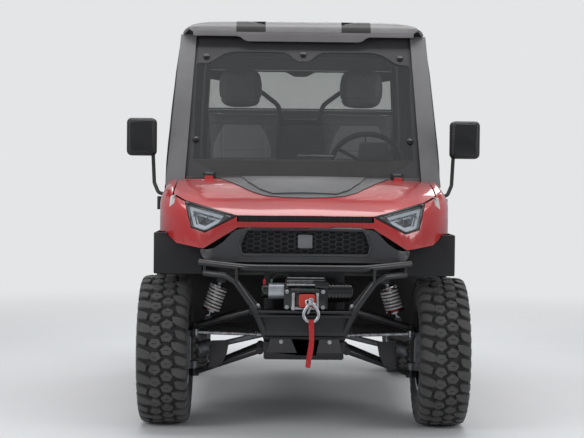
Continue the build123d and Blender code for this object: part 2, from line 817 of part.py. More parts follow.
# mirrors
mirror_inner = 718
mirror_outer = 862
mirror_arm = bent_tube(
    [(fender_half - 4, -625, 1050), (mirror_inner - 14, -622, 1062), (mirror_inner + 8, -600, 1110),
     (mirror_inner + 18, -585, 1290)],
    26, 9,
)
with BuildPart() as mirror_made:
    block(mirror_inner, mirror_outer, -618, -556, 1241, 1425)
    fillet(mirror_made.edges().filter_by(Axis.Y), 24)
    fillet(mirror_made.faces().sort_by(Axis.Y)[0].edges(), 22)
    add(mirror_arm)
    block(tub_half + seat_gap, fender_half + 12, -652, -600, 1020, 1066)
    add(front_fenders.part, mode=Mode.SUBTRACT)
    add(cab_tub.part, mode=Mode.SUBTRACT)
with BuildPart() as mirrors:
    add(mirror_made.part.solids().sort_by(SortBy.VOLUME)[-1])
    mirror(about=Plane.YZ)
save(mirrors, "mirrors")

# suspension
kingpin_x = 505
lower_ball_z = 236
upper_ball_z = 448
arm_tube = 15
bush_radius = 18
bush_length = 44
lower_bush_z = 352
upper_bush_z = arm_rail_z
ball_radius = 24
ball_height = 34
knuckle_low = lower_ball_z + ball_height / 2 + seat_gap
knuckle_high = upper_ball_z - ball_height / 2 - seat_gap


def a_arm(axle, inner_x, inner_z, spread, ball_z, joint_x):
    """One A-arm on the +X side, from two bushes on the frame to its ball joint."""
    with BuildPart() as arm:
        for side in (-1, 1):
            bush_y = axle + side * spread
            bar((inner_x, bush_y, inner_z), (kingpin_x, axle + side * 6, ball_z), arm_tube)
            bar((inner_x, bush_y - bush_length / 2, inner_z), (inner_x, bush_y + bush_length / 2, inner_z),
                bush_radius)
        bar((kingpin_x, axle, ball_z - ball_height / 2), (kingpin_x, axle, ball_z + ball_height / 2),
            ball_radius)
        tie_x = joint_x
        share = (tie_x - inner_x) / (kingpin_x - inner_x)
        tie_y = spread * (1 - share) + 6 * share
        tie_z = inner_z + (ball_z - inner_z) * share
        bar((tie_x, axle - tie_y, tie_z), (tie_x, axle + tie_y, tie_z), arm_tube - 3)
        # trim what stands above or below the ball joint's flat ends, next to the knuckle
        if ball_z < tyre_radius:
            block(kingpin_x - 60, kingpin_x + 60, axle - 60, axle + 60,
                  ball_z + ball_height / 2, ball_z + 80, mode=Mode.SUBTRACT)
        else:
            block(kingpin_x - 60, kingpin_x + 60, axle - 60, axle + 60,
                  ball_z - 80, ball_z - ball_height / 2, mode=Mode.SUBTRACT)
    return arm.part


lower_bush_x = rail_x + rail_width / 2 + bush_radius + seat_gap
upper_bush_x = arm_rail_x + 15 + bush_radius + seat_gap
shock_foot_x = 440
axles = (front_axle, rear_axle)
with BuildPart() as lower_arms:
    for axle in axles:
        add(a_arm(axle, lower_bush_x, lower_bush_z, 110, lower_ball_z, 400))
    mirror(about=Plane.YZ)
save(lower_arms, "lower_arms")

shock_foot_z = 492
with BuildPart() as upper_arms:
    for axle in axles:
        add(a_arm(axle, upper_bush_x, upper_bush_z, 75, upper_ball_z, shock_foot_x))
    for axle in axles:
        for ear in (-1, 1):
            ear_face = ear * (15 + seat_gap)
            block(shock_foot_x - 16, shock_foot_x + 16, axle + ear_face, axle + ear_face + ear * 6,
                  shock_foot_z - 30, shock_foot_z + 6)
    mirror(about=Plane.YZ)
save(upper_arms, "upper_arms")

spring_radius = 42
shock_run = Vector(shock_foot_x - shock_top_x, 0, shock_foot_z - shock_top_z)


def on_shock(share, axle):
    """Point on the shock absorber's axis, from its top eye (0) to its foot eye (1)."""
    return (shock_top_x + shock_run.X * share, axle, shock_top_z + shock_run.Z * share)


with BuildPart() as shock_absorbers:
    for axle in (front_axle, rear_axle):
        bar((shock_top_x, axle - 15, shock_top_z), (shock_top_x, axle + 15, shock_top_z), shock_eye_radius)
        bar((shock_foot_x, axle - 15, shock_foot_z), (shock_foot_x, axle + 15, shock_foot_z),
            shock_eye_radius - 3)
        bar(on_shock(0.04, axle), on_shock(0.94, axle), 9)
        bar(on_shock(0.17, axle), on_shock(0.62, axle), 20)
        bar(on_shock(0.17, axle), on_shock(0.21, axle), spring_radius)
        bar(on_shock(0.80, axle), on_shock(0.84, axle), spring_radius)
    mirror(about=Plane.YZ)
    add(upper_arms.part, mode=Mode.SUBTRACT)
save(shock_absorbers, "shock_absorbers")

with BuildPart() as springs:
    for axle in (front_axle, rear_axle):
        bar(on_shock(0.2115, axle), on_shock(0.7985, axle), spring_radius)
        bar(on_shock(0.2, axle), on_shock(0.81, axle), spring_radius - 12, mode=Mode.SUBTRACT)
    mirror(about=Plane.YZ)
save(springs, "springs")

# knuckles and hubs
spindle_radius = 28
spindle_start = 545
hub_face = half_track + 45
brake_radius = 108
steer_arm = 110
steer_arm_x = kingpin_x - 14
steer_arm_top = 418
web_x = kingpin_x + 16


def upright_part(with_steering):
    """Wheel carrier on the +X side, at Y = 0: two bosses, an outboard web and the spindle."""
    with BuildPart() as upright:
        bar((kingpin_x, 0, knuckle_low), (kingpin_x, 0, knuckle_low + 34), 22)
        bar((kingpin_x, 0, knuckle_high - 26), (kingpin_x, 0, knuckle_high), 22)
        block(web_x, spindle_start, -34, 34, knuckle_low, knuckle_high)
        block(kingpin_x, web_x + 4, -20, 20, knuckle_low, knuckle_low + 28)
        block(kingpin_x, web_x + 4, -20, 20, knuckle_high - 22, knuckle_high)
        bar((spindle_start - 4, 0, tyre_radius), (hub_face, 0, tyre_radius), spindle_radius)
        bar((spindle_start, 0, tyre_radius), (spindle_start + 9, 0, tyre_radius), brake_radius)
        if with_steering:
            side_low = steer_arm_top - 14
            with BuildSketch(Plane.XY.offset(side_low)) as arm:
                with BuildLine():
                    Polyline(
                        (kingpin_x - 18, 0), (steer_arm_x - 16, -steer_arm), (steer_arm_x, -steer_arm - 16),
                        (steer_arm_x + 15, -steer_arm), (kingpin_x + 18, 0), close=True,
                    )
                make_face()
            extrude(to_extrude=arm.sketch, amount=14)
    return upright.part


steered_upright = upright_part(True)
fixed_upright = upright_part(False)
with BuildPart() as left_knuckle:
    with Locations((0, front_axle, 0)):
        add(steered_upright)
save(left_knuckle, "left_knuckle")

with BuildPart() as right_knuckle:
    mirror(left_knuckle.part, about=Plane.YZ)
save(right_knuckle, "right_knuckle")

with BuildPart() as rear_uprights:
    with Locations((0, rear_axle, 0)):
        add(fixed_upright)
    mirror(about=Plane.YZ)
save(rear_uprights, "rear_uprights")

tie_end_z = steer_arm_top + seat_gap + 14
with BuildPart() as tie_rods:
    bar((0, rack_y, rack_z), (196, rack_y, rack_z), 10)
    bar((190, rack_y, rack_z), (212, rack_y, rack_z), 15)
    bar((205, rack_y, rack_z), (steer_arm_x, rack_y, tie_end_z), 9)
    bar((steer_arm_x, rack_y, steer_arm_top + seat_gap), (steer_arm_x, rack_y, steer_arm_top + seat_gap + 28),
        15)
    mirror(about=Plane.YZ)
save(tie_rods, "tie_rods")

diff_half = 95
diff_z = 432
shaft_end_x = 480
with BuildPart() as final_drives:
    for axle in (front_axle, rear_axle):
        block(0, diff_half, axle - 62, axle + 62, rail_top + seat_gap, diff_z + 55)
        bar((diff_half - 4, axle, diff_z), (diff_half + 18, axle, diff_z), 34)
        bar((diff_half + 10, axle, diff_z), (shaft_end_x, axle, tyre_radius), 13)
        bar((shaft_end_x - 58, axle, tyre_radius + 14), (shaft_end_x, axle, tyre_radius), 34)
    mirror(about=Plane.YZ)
    add(lower_arms.part, mode=Mode.SUBTRACT)
save(final_drives, "final_drives")

# wheels
bead_radius = 178
rim_lip = 190
rim_half = 100
barrel_radius = 166
hub_bore = spindle_radius + pin_gap
rim_profile = [
    (-rim_half, rim_lip), (-rim_half + 6, rim_lip), (-92, bead_radius), (-62, bead_radius - 3), (-50, 172),
    (50, 172), (62, bead_radius - 3), (92, bead_radius), (rim_half - 6, rim_lip), (rim_half, rim_lip),
    (rim_half, rim_lip - 8), (96, 172), (60, 168), (50, barrel_radius), (-50, barrel_radius),
    (-60, 168), (-96, 172), (-rim_half, rim_lip - 8),
]
spoke_count = 8
with BuildPart() as rim:
    with BuildSketch(Plane.XY):
        with BuildLine():
            Polyline(*rim_profile, close=True)
        make_face()
    revolve(axis=Axis.X)
    with BuildSketch(Plane.XY):
        with BuildLine():
            Polyline(
                (20, hub_bore), (58, hub_bore), (58, 62), (46, 96), (44, 138), (52, 169),
                (38, 169), (30, 138), (32, 92), (20, 70), close=True,
            )
        make_face()
    revolve(axis=Axis.X)
    with BuildSketch(Plane.YZ):
        with PolarLocations(118, spoke_count, start_angle=22.5):
            SlotOverall(62, 34, rotation=90)
    extrude(amount=90, mode=Mode.SUBTRACT)

tread_half = tread_width / 2
section_half = tyre_section / 2
sidewall = tyre_radius - rim_lip
widest = rim_lip + 0.47 * sidewall
tread_thick = 17
carcass_outer = [
    (-88, bead_radius + 0.4), (-96, rim_lip + 4),
    (-section_half + 2, rim_lip + 0.235 * sidewall), (-section_half, widest),
    (-section_half + 3, rim_lip + 0.72 * sidewall), (-tread_half, tyre_radius - tread_thick),
    (-tread_half + 14, tyre_radius - 4), (-60, tyre_radius),
]
carcass_inner = [
    (-50, tyre_radius - tread_thick), (-92, tyre_radius - tread_thick - 14), (-98, widest),
    (-90, rim_lip + 0.21 * sidewall), (-76, bead_radius + 6), (-76, bead_radius + 0.4),
]
with BuildPart() as tyre:
    with BuildSketch(Plane.XY):
        with BuildLine():
            Polyline(
                *carcass_outer, *[(-x, r) for x, r in reversed(carcass_outer)],
                *[(-x, r) for x, r in reversed(carcass_inner)], *carcass_inner, close=True,
            )
        make_face()
    revolve(axis=Axis.X)

for end, axle in (("front", front_axle), ("rear", rear_axle)):
    for hand, side in (("left", 1), ("right", -1)):
        place = Location((side * half_track, axle, tyre_radius), (0, 0, 0 if side > 0 else 180))
        for label, made in (("rim", rim), ("tyre", tyre)):
            with BuildPart() as placed:
                with Locations(place):
                    add(made.part)
            save(placed, f"{end}_{hand}_{label}")

# power train
with BuildPart() as engine:
    block(-230, 230, rear_post_front + 22, rear_axle - rear_arm_post - 22,
          rail_top + seat_gap, bed_rail_bottom - 20)
    fillet(engine.edges().filter_by(Axis.Z), 20)
save(engine, "engine")

muffler_y = rear_axle + 245
muffler_radius = 72
muffler_z = 600
tailpipe_x = 120
with BuildPart() as exhaust:
    bar((-190, muffler_y, muffler_z), (170, muffler_y, muffler_z), muffler_radius)
    bar((tailpipe_x, rear_axle + 300, muffler_z - 20), (tailpipe_x, rear_axle + 400, muffler_z - 30), 22)
    bar((tailpipe_x, rear_axle + 312, muffler_z - 22), (tailpipe_x, rear_axle + 410, muffler_z - 31), 18,
        mode=Mode.SUBTRACT)
    add(frame.part, mode=Mode.SUBTRACT)
save(exhaust, "exhaust")

# rear mudguards
guard_thick = 10
guard_foot = tyre_radius + 157
with BuildPart() as rear_flares:
    with BuildSketch(Plane.YZ.offset(fender_wall)) as arch:
        with Locations((rear_axle, tyre_radius)):
            Circle(guard_radius + guard_thick)
            Circle(guard_radius, mode=Mode.SUBTRACT)
        with Locations((rear_axle, tyre_radius - 150)):
            Rectangle(1000, 500, mode=Mode.SUBTRACT)
    extrude(to_extrude=arch.sketch, amount=245)
    for cross_y in (rear_axle - guard_reach, rear_axle + guard_reach):
        block(fender_wall, fender_wall + 8, cross_y - 20, cross_y + 20, guard_foot, bed_rail_bottom + 15)
    mirror(about=Plane.YZ)
save(rear_flares, "rear_flares")

# cargo bed
bed_half = 660
bed_front = 722
bed_rear = 1440
bed_floor = 815
bed_base = 800
bed_wall = 25
bed_top = 1100
eye_x = rail_x + 60
eye_radius = 24
gate_thick = 25
gate_gap = 7
gate_pin = 5
gate_hinge_x = 480
with BuildPart() as cargo_bed:
    block(-bed_half, bed_half, bed_front, bed_rear, bed_base, bed_top)
    block(-bed_half + bed_wall, bed_half - bed_wall, bed_front + bed_wall, bed_rear + 5,
          bed_floor, bed_top + 5, mode=Mode.SUBTRACT)
    for side in (-1, 1):
        x = side * eye_x
        block(x - 20, x + 20, bed_hinge_y - 22, bed_hinge_y + 22, bed_hinge_z, bed_base)
        bar((x - 20, bed_hinge_y, bed_hinge_z), (x + 20, bed_hinge_y, bed_hinge_z), eye_radius)
        bar((x - 30, bed_hinge_y, bed_hinge_z), (x + 30, bed_hinge_y, bed_hinge_z),
            bed_shaft_radius + pin_gap, mode=Mode.SUBTRACT)
    gate_hinge_y = bed_rear + 14
    gate_hinge_z = bed_base + 8
    for side in (-1, 1):
        x = side * gate_hinge_x
        for ear in (-1, 1):
            ear_x = x + ear * 27
            block(ear_x - 5, ear_x + 5, bed_rear - 2, gate_hinge_y, bed_base, gate_hinge_z + 8)
            bar((ear_x - 5, gate_hinge_y, gate_hinge_z), (ear_x + 5, gate_hinge_y, gate_hinge_z), 9)
        bar((x - 30, gate_hinge_y, gate_hinge_z), (x + 30, gate_hinge_y, gate_hinge_z), gate_pin)
save(cargo_bed, "cargo_bed")

with BuildPart() as tailgate:
    gate_half = bed_half - bed_wall - gate_gap
    block(-gate_half, gate_half, bed_rear - gate_thick, bed_rear, bed_floor + gate_gap, bed_top - 5)
    for side in (-1, 1):
        x = side * gate_hinge_x
        block(x - 20, x + 20, bed_rear - 2, gate_hinge_y, bed_floor + gate_gap, bed_floor + gate_gap + 30)
        block(x - 20, x + 20, gate_hinge_y - 5, gate_hinge_y + 5, gate_hinge_z, bed_floor + gate_gap + 30)
        bar((x - 20, gate_hinge_y, gate_hinge_z), (x + 20, gate_hinge_y, gate_hinge_z), 9)
        bar((x - 30, gate_hinge_y, gate_hinge_z), (x + 30, gate_hinge_y, gate_hinge_z),
            gate_pin + pin_gap, mode=Mode.SUBTRACT)
save(tailgate, "tailgate")

with BuildPart() as tail_lamps:
    for side in (-1, 1):
        x = side * (bed_half - 12)
        block(x - 12, x + 12, bed_rear + seat_gap, bed_rear + 26, 900, 1060)
    fillet(tail_lamps.edges().filter_by(Axis.Y), 6)
save(tail_lamps, "tail_lamps")
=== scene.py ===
import json
import math

import bmesh
import bpy
from mathutils import Matrix, Vector, noise
from mathutils.bvhtree import BVHTree


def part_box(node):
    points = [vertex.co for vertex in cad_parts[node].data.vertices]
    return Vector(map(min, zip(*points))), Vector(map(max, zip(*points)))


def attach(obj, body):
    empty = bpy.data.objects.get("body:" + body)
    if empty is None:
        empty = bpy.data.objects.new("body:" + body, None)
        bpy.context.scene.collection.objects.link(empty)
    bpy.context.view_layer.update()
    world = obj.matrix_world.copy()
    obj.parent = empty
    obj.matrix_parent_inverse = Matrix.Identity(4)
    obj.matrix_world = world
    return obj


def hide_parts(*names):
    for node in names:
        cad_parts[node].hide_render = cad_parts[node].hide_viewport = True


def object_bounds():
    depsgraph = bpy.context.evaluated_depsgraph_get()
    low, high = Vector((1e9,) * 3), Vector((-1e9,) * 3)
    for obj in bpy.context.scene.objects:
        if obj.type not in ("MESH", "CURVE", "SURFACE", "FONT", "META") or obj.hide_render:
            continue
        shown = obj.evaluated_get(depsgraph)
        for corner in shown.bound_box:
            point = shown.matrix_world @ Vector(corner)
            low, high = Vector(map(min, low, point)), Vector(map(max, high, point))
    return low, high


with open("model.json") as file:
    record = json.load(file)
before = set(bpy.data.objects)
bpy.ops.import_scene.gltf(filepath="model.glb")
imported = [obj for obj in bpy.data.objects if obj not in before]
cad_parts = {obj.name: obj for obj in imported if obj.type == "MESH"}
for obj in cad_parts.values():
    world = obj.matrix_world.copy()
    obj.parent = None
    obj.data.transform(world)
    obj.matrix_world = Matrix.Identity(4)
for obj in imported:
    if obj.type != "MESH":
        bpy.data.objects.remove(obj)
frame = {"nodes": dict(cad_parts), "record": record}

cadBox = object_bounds()

# The nose points to -Y, the driver's left is +X, the ground is at Z 0, all in metres.


def hexColour(code):
    parts = [int(code[i:i + 2], 16) / 255 for i in (0, 2, 4)]
    return tuple(p / 12.92 if p <= 0.04045 else ((p + 0.055) / 1.055) ** 2.4 for p in parts) + (1.0,)


def addNode(tree, kind, settings=None, links=None):
    # settings are node attributes or input values, links are input name or number: output socket
    node = tree.nodes.new(kind)
    for key, value in (settings or {}).items():
        if isinstance(key, str) and hasattr(node, key):
            setattr(node, key, value)
        else:
            node.inputs[key].default_value = value
    for key, socket in (links or {}).items():
        tree.links.new(socket, node.inputs[key])
    return node


def newMaterial(name, settings):
    material = bpy.data.materials.new(name)
    material.use_nodes = True
    tree = material.node_tree
    tree.nodes.clear()
    shader = addNode(tree, "ShaderNodeBsdfPrincipled", settings)
    addNode(tree, "ShaderNodeOutputMaterial", None, {"Surface": shader.outputs[0]})
    where = addNode(tree, "ShaderNodeTexCoord").outputs["Object"]
    return material, tree, shader, where


def mottled(tree, where, scale, detail, roughness, tones):
    # a cloudy noise and the colour that it gives, tones are the (stop, colour) pairs of its dark and pale
    # ends
    cloud = addNode(tree, "ShaderNodeTexNoise", {"Scale": scale, "Detail": detail, "Roughness": roughness},
                    {"Vector": where}).outputs["Fac"]
    ramp = addNode(tree, "ShaderNodeValToRGB", None, {"Fac": cloud})
    for element, (stop, code) in zip(ramp.color_ramp.elements, tones):
        element.position = stop
        element.color = hexColour(code)
    return cloud, ramp.outputs["Color"]


def overlay(tree, colour, code, share):
    # the colour with another laid on it by that share
    mix = addNode(tree, "ShaderNodeMix", {"data_type": "RGBA", 7: hexColour(code)}, {0: share, 6: colour})
    return mix.outputs[2]


def surface(tree, shader, where, colour, gloss, grain, height):
    # gloss is (noise, least, most roughness), grain (scale, detail) and height the (strength, distance) of
    # its bump
    tree.links.new(colour, shader.inputs["Base Color"])
    sheen = addNode(tree, "ShaderNodeMapRange", {"To Min": gloss[1], "To Max": gloss[2]}, {"Value": gloss[0]})
    tree.links.new(sheen.outputs[0], shader.inputs["Roughness"])
    fine = addNode(tree, "ShaderNodeTexNoise", {"Scale": grain[0], "Detail": grain[1]}, {"Vector": where})
    bump = addNode(tree, "ShaderNodeBump", {"Strength": height[0], "Distance": height[1]},
                   {"Height": fine.outputs["Fac"]})
    tree.links.new(bump.outputs[0], shader.inputs["Normal"])
    return bump.outputs[0]


def mouldedPlastic(name, base, dark, rough, grain, depth, coat=0.0, dust=0.10, blotch=3.0):
    # grain is the size of the moulded grain in metres, depth the height of its bump
    material, tree, shader, where = newMaterial(name,
                                                {"Coat Weight": coat, "Coat Roughness": 0.12, "IOR": 1.5})
    cloud, colour = mottled(tree, where, blotch, 5.0, 0.6, [(0.34, dark), (0.66, base)])
    # dust lies on what faces up
    facing = addNode(tree, "ShaderNodeSeparateXYZ", None,
                     {0: addNode(tree, "ShaderNodeNewGeometry").outputs["Normal"]})
    film = addNode(tree, "ShaderNodeTexNoise", {"Scale": 24.0, "Detail": 6.0, "Roughness": 0.7},
                   {"Vector": where})
    lying = addNode(tree, "ShaderNodeMath", {"operation": "MULTIPLY", "use_clamp": True},
                    {0: facing.outputs["Z"], 1: film.outputs["Fac"]})
    amount = addNode(tree, "ShaderNodeMath", {"operation": "MULTIPLY", 1: dust}, {0: lying.outputs[0]})
    surface(tree, shader, where, overlay(tree, colour, "A39D92", amount.outputs[0]),
            (cloud, rough - 0.07, rough + 0.09), (1.0 / grain, 3.0), (0.5, depth))
    return material


def bareMetal(name, base, dark, rough, streak, metallic=1.0):
    # streak is the size of the mottling in metres
    material, tree, shader, where = newMaterial(name, {"Metallic": metallic})
    cloud, colour = mottled(tree, where, 1.0 / streak, 8.0, 0.65, [(0.3, dark), (0.62, base)])
    surface(tree, shader, where, colour, (cloud, rough - 0.1, rough + 0.15), (900.0, 2.0), (0.35, 0.0003))
    return material


def redCoat(name):
    # the orange peel breaks up the lamps' reflections, the specks are dull where the coat is rubbed
    material, tree, shader, where = newMaterial(name,
                                                {"Coat Weight": 0.9, "Coat Roughness": 0.06, "IOR": 1.5})
    cloud, colour = mottled(tree, where, 2.2, 4.0, 0.5, [(0.3, "A01418"), (0.7, "B71D20")])
    film = addNode(tree, "ShaderNodeTexNoise", {"Scale": 60.0, "Detail": 6.0, "Roughness": 0.7},
                   {"Vector": where}).outputs["Fac"]
    specks = addNode(tree, "ShaderNodeMapRange", {"From Min": 0.62, "From Max": 0.8, "To Max": 0.18},
                     {"Value": film})
    peel = surface(tree, shader, where, overlay(tree, colour, "B08A80", specks.outputs[0]), (film, 0.22, 0.4),
                   (160.0, 2.0), (0.12, 0.0006))
    tree.links.new(peel, shader.inputs["Coat Normal"])
    return material


def tyreRubber(name, pale, dark):
    # matt, with pale dust in its pores
    material, tree, shader, where = newMaterial(name,
                                                {"IOR": 1.5, "Sheen Weight": 0.12, "Sheen Roughness": 0.5})
    cloud, colour = mottled(tree, where, 9.0, 8.0, 0.7, [(0.35, dark), (0.7, pale)])
    surface(tree, shader, where, colour, (cloud, 0.62, 0.9), (420.0, 4.0), (0.5, 0.0008))
    return material


def glassSheet(name, tint, rough, weight, ior=1.45):
    # a thin pane: mostly lets light through, with a soft gloss
    material, tree, shader, where = newMaterial(name, {"Base Color": hexColour(tint), "IOR": ior})
    tree.nodes.remove(shader)
    out = [n for n in tree.nodes if n.type == "OUTPUT_MATERIAL"][0]
    smear = addNode(tree, "ShaderNodeTexNoise", {"Scale": 5.0, "Detail": 6.0, "Roughness": 0.6},
                    {"Vector": where})
    gloss = addNode(tree, "ShaderNodeMapRange", {"To Min": rough, "To Max": rough + 0.08},
                    {"Value": smear.outputs["Fac"]})
    clear = addNode(tree, "ShaderNodeBsdfTransparent", {"Color": hexColour(tint)})
    shine = addNode(tree, "ShaderNodeBsdfGlossy", {"Color": (1, 1, 1, 1)}, {"Roughness": gloss.outputs[0]})
    # the far face of the pane takes the same gloss as the near one
    behind = addNode(tree, "ShaderNodeMath", {"operation": "MULTIPLY_ADD", 1: 1 / ior - ior, 2: ior},
                     {0: addNode(tree, "ShaderNodeNewGeometry").outputs["Backfacing"]})
    edge = addNode(tree, "ShaderNodeFresnel", None, {"IOR": behind.outputs[0]})
    haze = addNode(tree, "ShaderNodeMath", {"operation": "MULTIPLY_ADD", 1: 1.0, 2: weight},
                   {0: edge.outputs[0]})
    pane = addNode(tree, "ShaderNodeMixShader", None,
                   {0: haze.outputs[0], 1: clear.outputs[0], 2: shine.outputs[0]})
    tree.links.new(pane.outputs[0], out.inputs["Surface"])
    return material


def tyreRubber(name, pale, dark):
    # cured rubber: matt, charcoal, with pale dust in its pores
    material, tree, shader, where = newMaterial(name,
                                                {"IOR": 1.5, "Sheen Weight": 0.12, "Sheen Roughness": 0.5})
    broad = addNode(tree, "ShaderNodeTexNoise", {"Scale": 9.0, "Detail": 8.0, "Roughness": 0.7},
                    {"Vector": where})
    tone = addNode(tree, "ShaderNodeValToRGB", None, {"Fac": broad.outputs["Fac"]})
    tone.color_ramp.elements[0].position = 0.35
    tone.color_ramp.elements[0].color = hexColour(dark)
    tone.color_ramp.elements[1].position = 0.7
    tone.color_ramp.elements[1].color = hexColour(pale)
    tree.links.new(tone.outputs["Color"], shader.inputs["Base Color"])
    matt = addNode(tree, "ShaderNodeMapRange", {"To Min": 0.62, "To Max": 0.9},
                   {"Value": broad.outputs["Fac"]})
    tree.links.new(matt.outputs[0], shader.inputs["Roughness"])
    pores = addNode(tree, "ShaderNodeTexNoise", {"Scale": 420.0, "Detail": 4.0}, {"Vector": where})
    bump = addNode(tree, "ShaderNodeBump", {"Strength": 0.5, "Distance": 0.0008},
                   {"Height": pores.outputs["Fac"]})
    tree.links.new(bump.outputs[0], shader.inputs["Normal"])
    return material


def wovenCloth(name, base, dark, thread):
    # plain weave of flat yarns, thread is the spacing of its yarns in metres
    material, tree, shader, where = newMaterial(name, {"Sheen Weight": 0.35, "Sheen Roughness": 0.4})
    turn = 2 * math.pi / thread
    parts = addNode(tree, "ShaderNodeSeparateXYZ", None, {0: where})
    warp = addNode(tree, "ShaderNodeMath", {"operation": "MULTIPLY", 1: turn}, {0: parts.outputs["X"]})
    weft = addNode(tree, "ShaderNodeMath", {"operation": "MULTIPLY", 1: turn}, {0: parts.outputs["Z"]})
    warpWave = addNode(tree, "ShaderNodeMath", {"operation": "SINE"}, {0: warp.outputs[0]})
    weftWave = addNode(tree, "ShaderNodeMath", {"operation": "SINE"}, {0: weft.outputs[0]})
    weave = addNode(tree, "ShaderNodeMath", {"operation": "MULTIPLY"},
                    {0: warpWave.outputs[0], 1: weftWave.outputs[0]})
    level = addNode(tree, "ShaderNodeMapRange", {"From Min": -1.0, "From Max": 1.0},
                    {"Value": weave.outputs[0]})
    soil = addNode(tree, "ShaderNodeTexNoise", {"Scale": 30.0, "Detail": 5.0}, {"Vector": where})
    blend = addNode(tree, "ShaderNodeMath", {"operation": "MULTIPLY", "use_clamp": True},
                    {0: level.outputs[0], 1: soil.outputs["Fac"]})
    mixed = addNode(tree, "ShaderNodeMix", {"data_type": "RGBA", 6: hexColour(base), 7: hexColour(dark)},
                    {0: blend.outputs[0]})
    tree.links.new(mixed.outputs[2], shader.inputs["Base Color"])
    rough = addNode(tree, "ShaderNodeMapRange", {"To Min": 0.6, "To Max": 0.85},
                    {"Value": soil.outputs["Fac"]})
    tree.links.new(rough.outputs[0], shader.inputs["Roughness"])
    bump = addNode(tree, "ShaderNodeBump", {"Strength": 0.6, "Distance": 0.0006},
                   {"Height": level.outputs[0]})
    tree.links.new(bump.outputs[0], shader.inputs["Normal"])
    return material


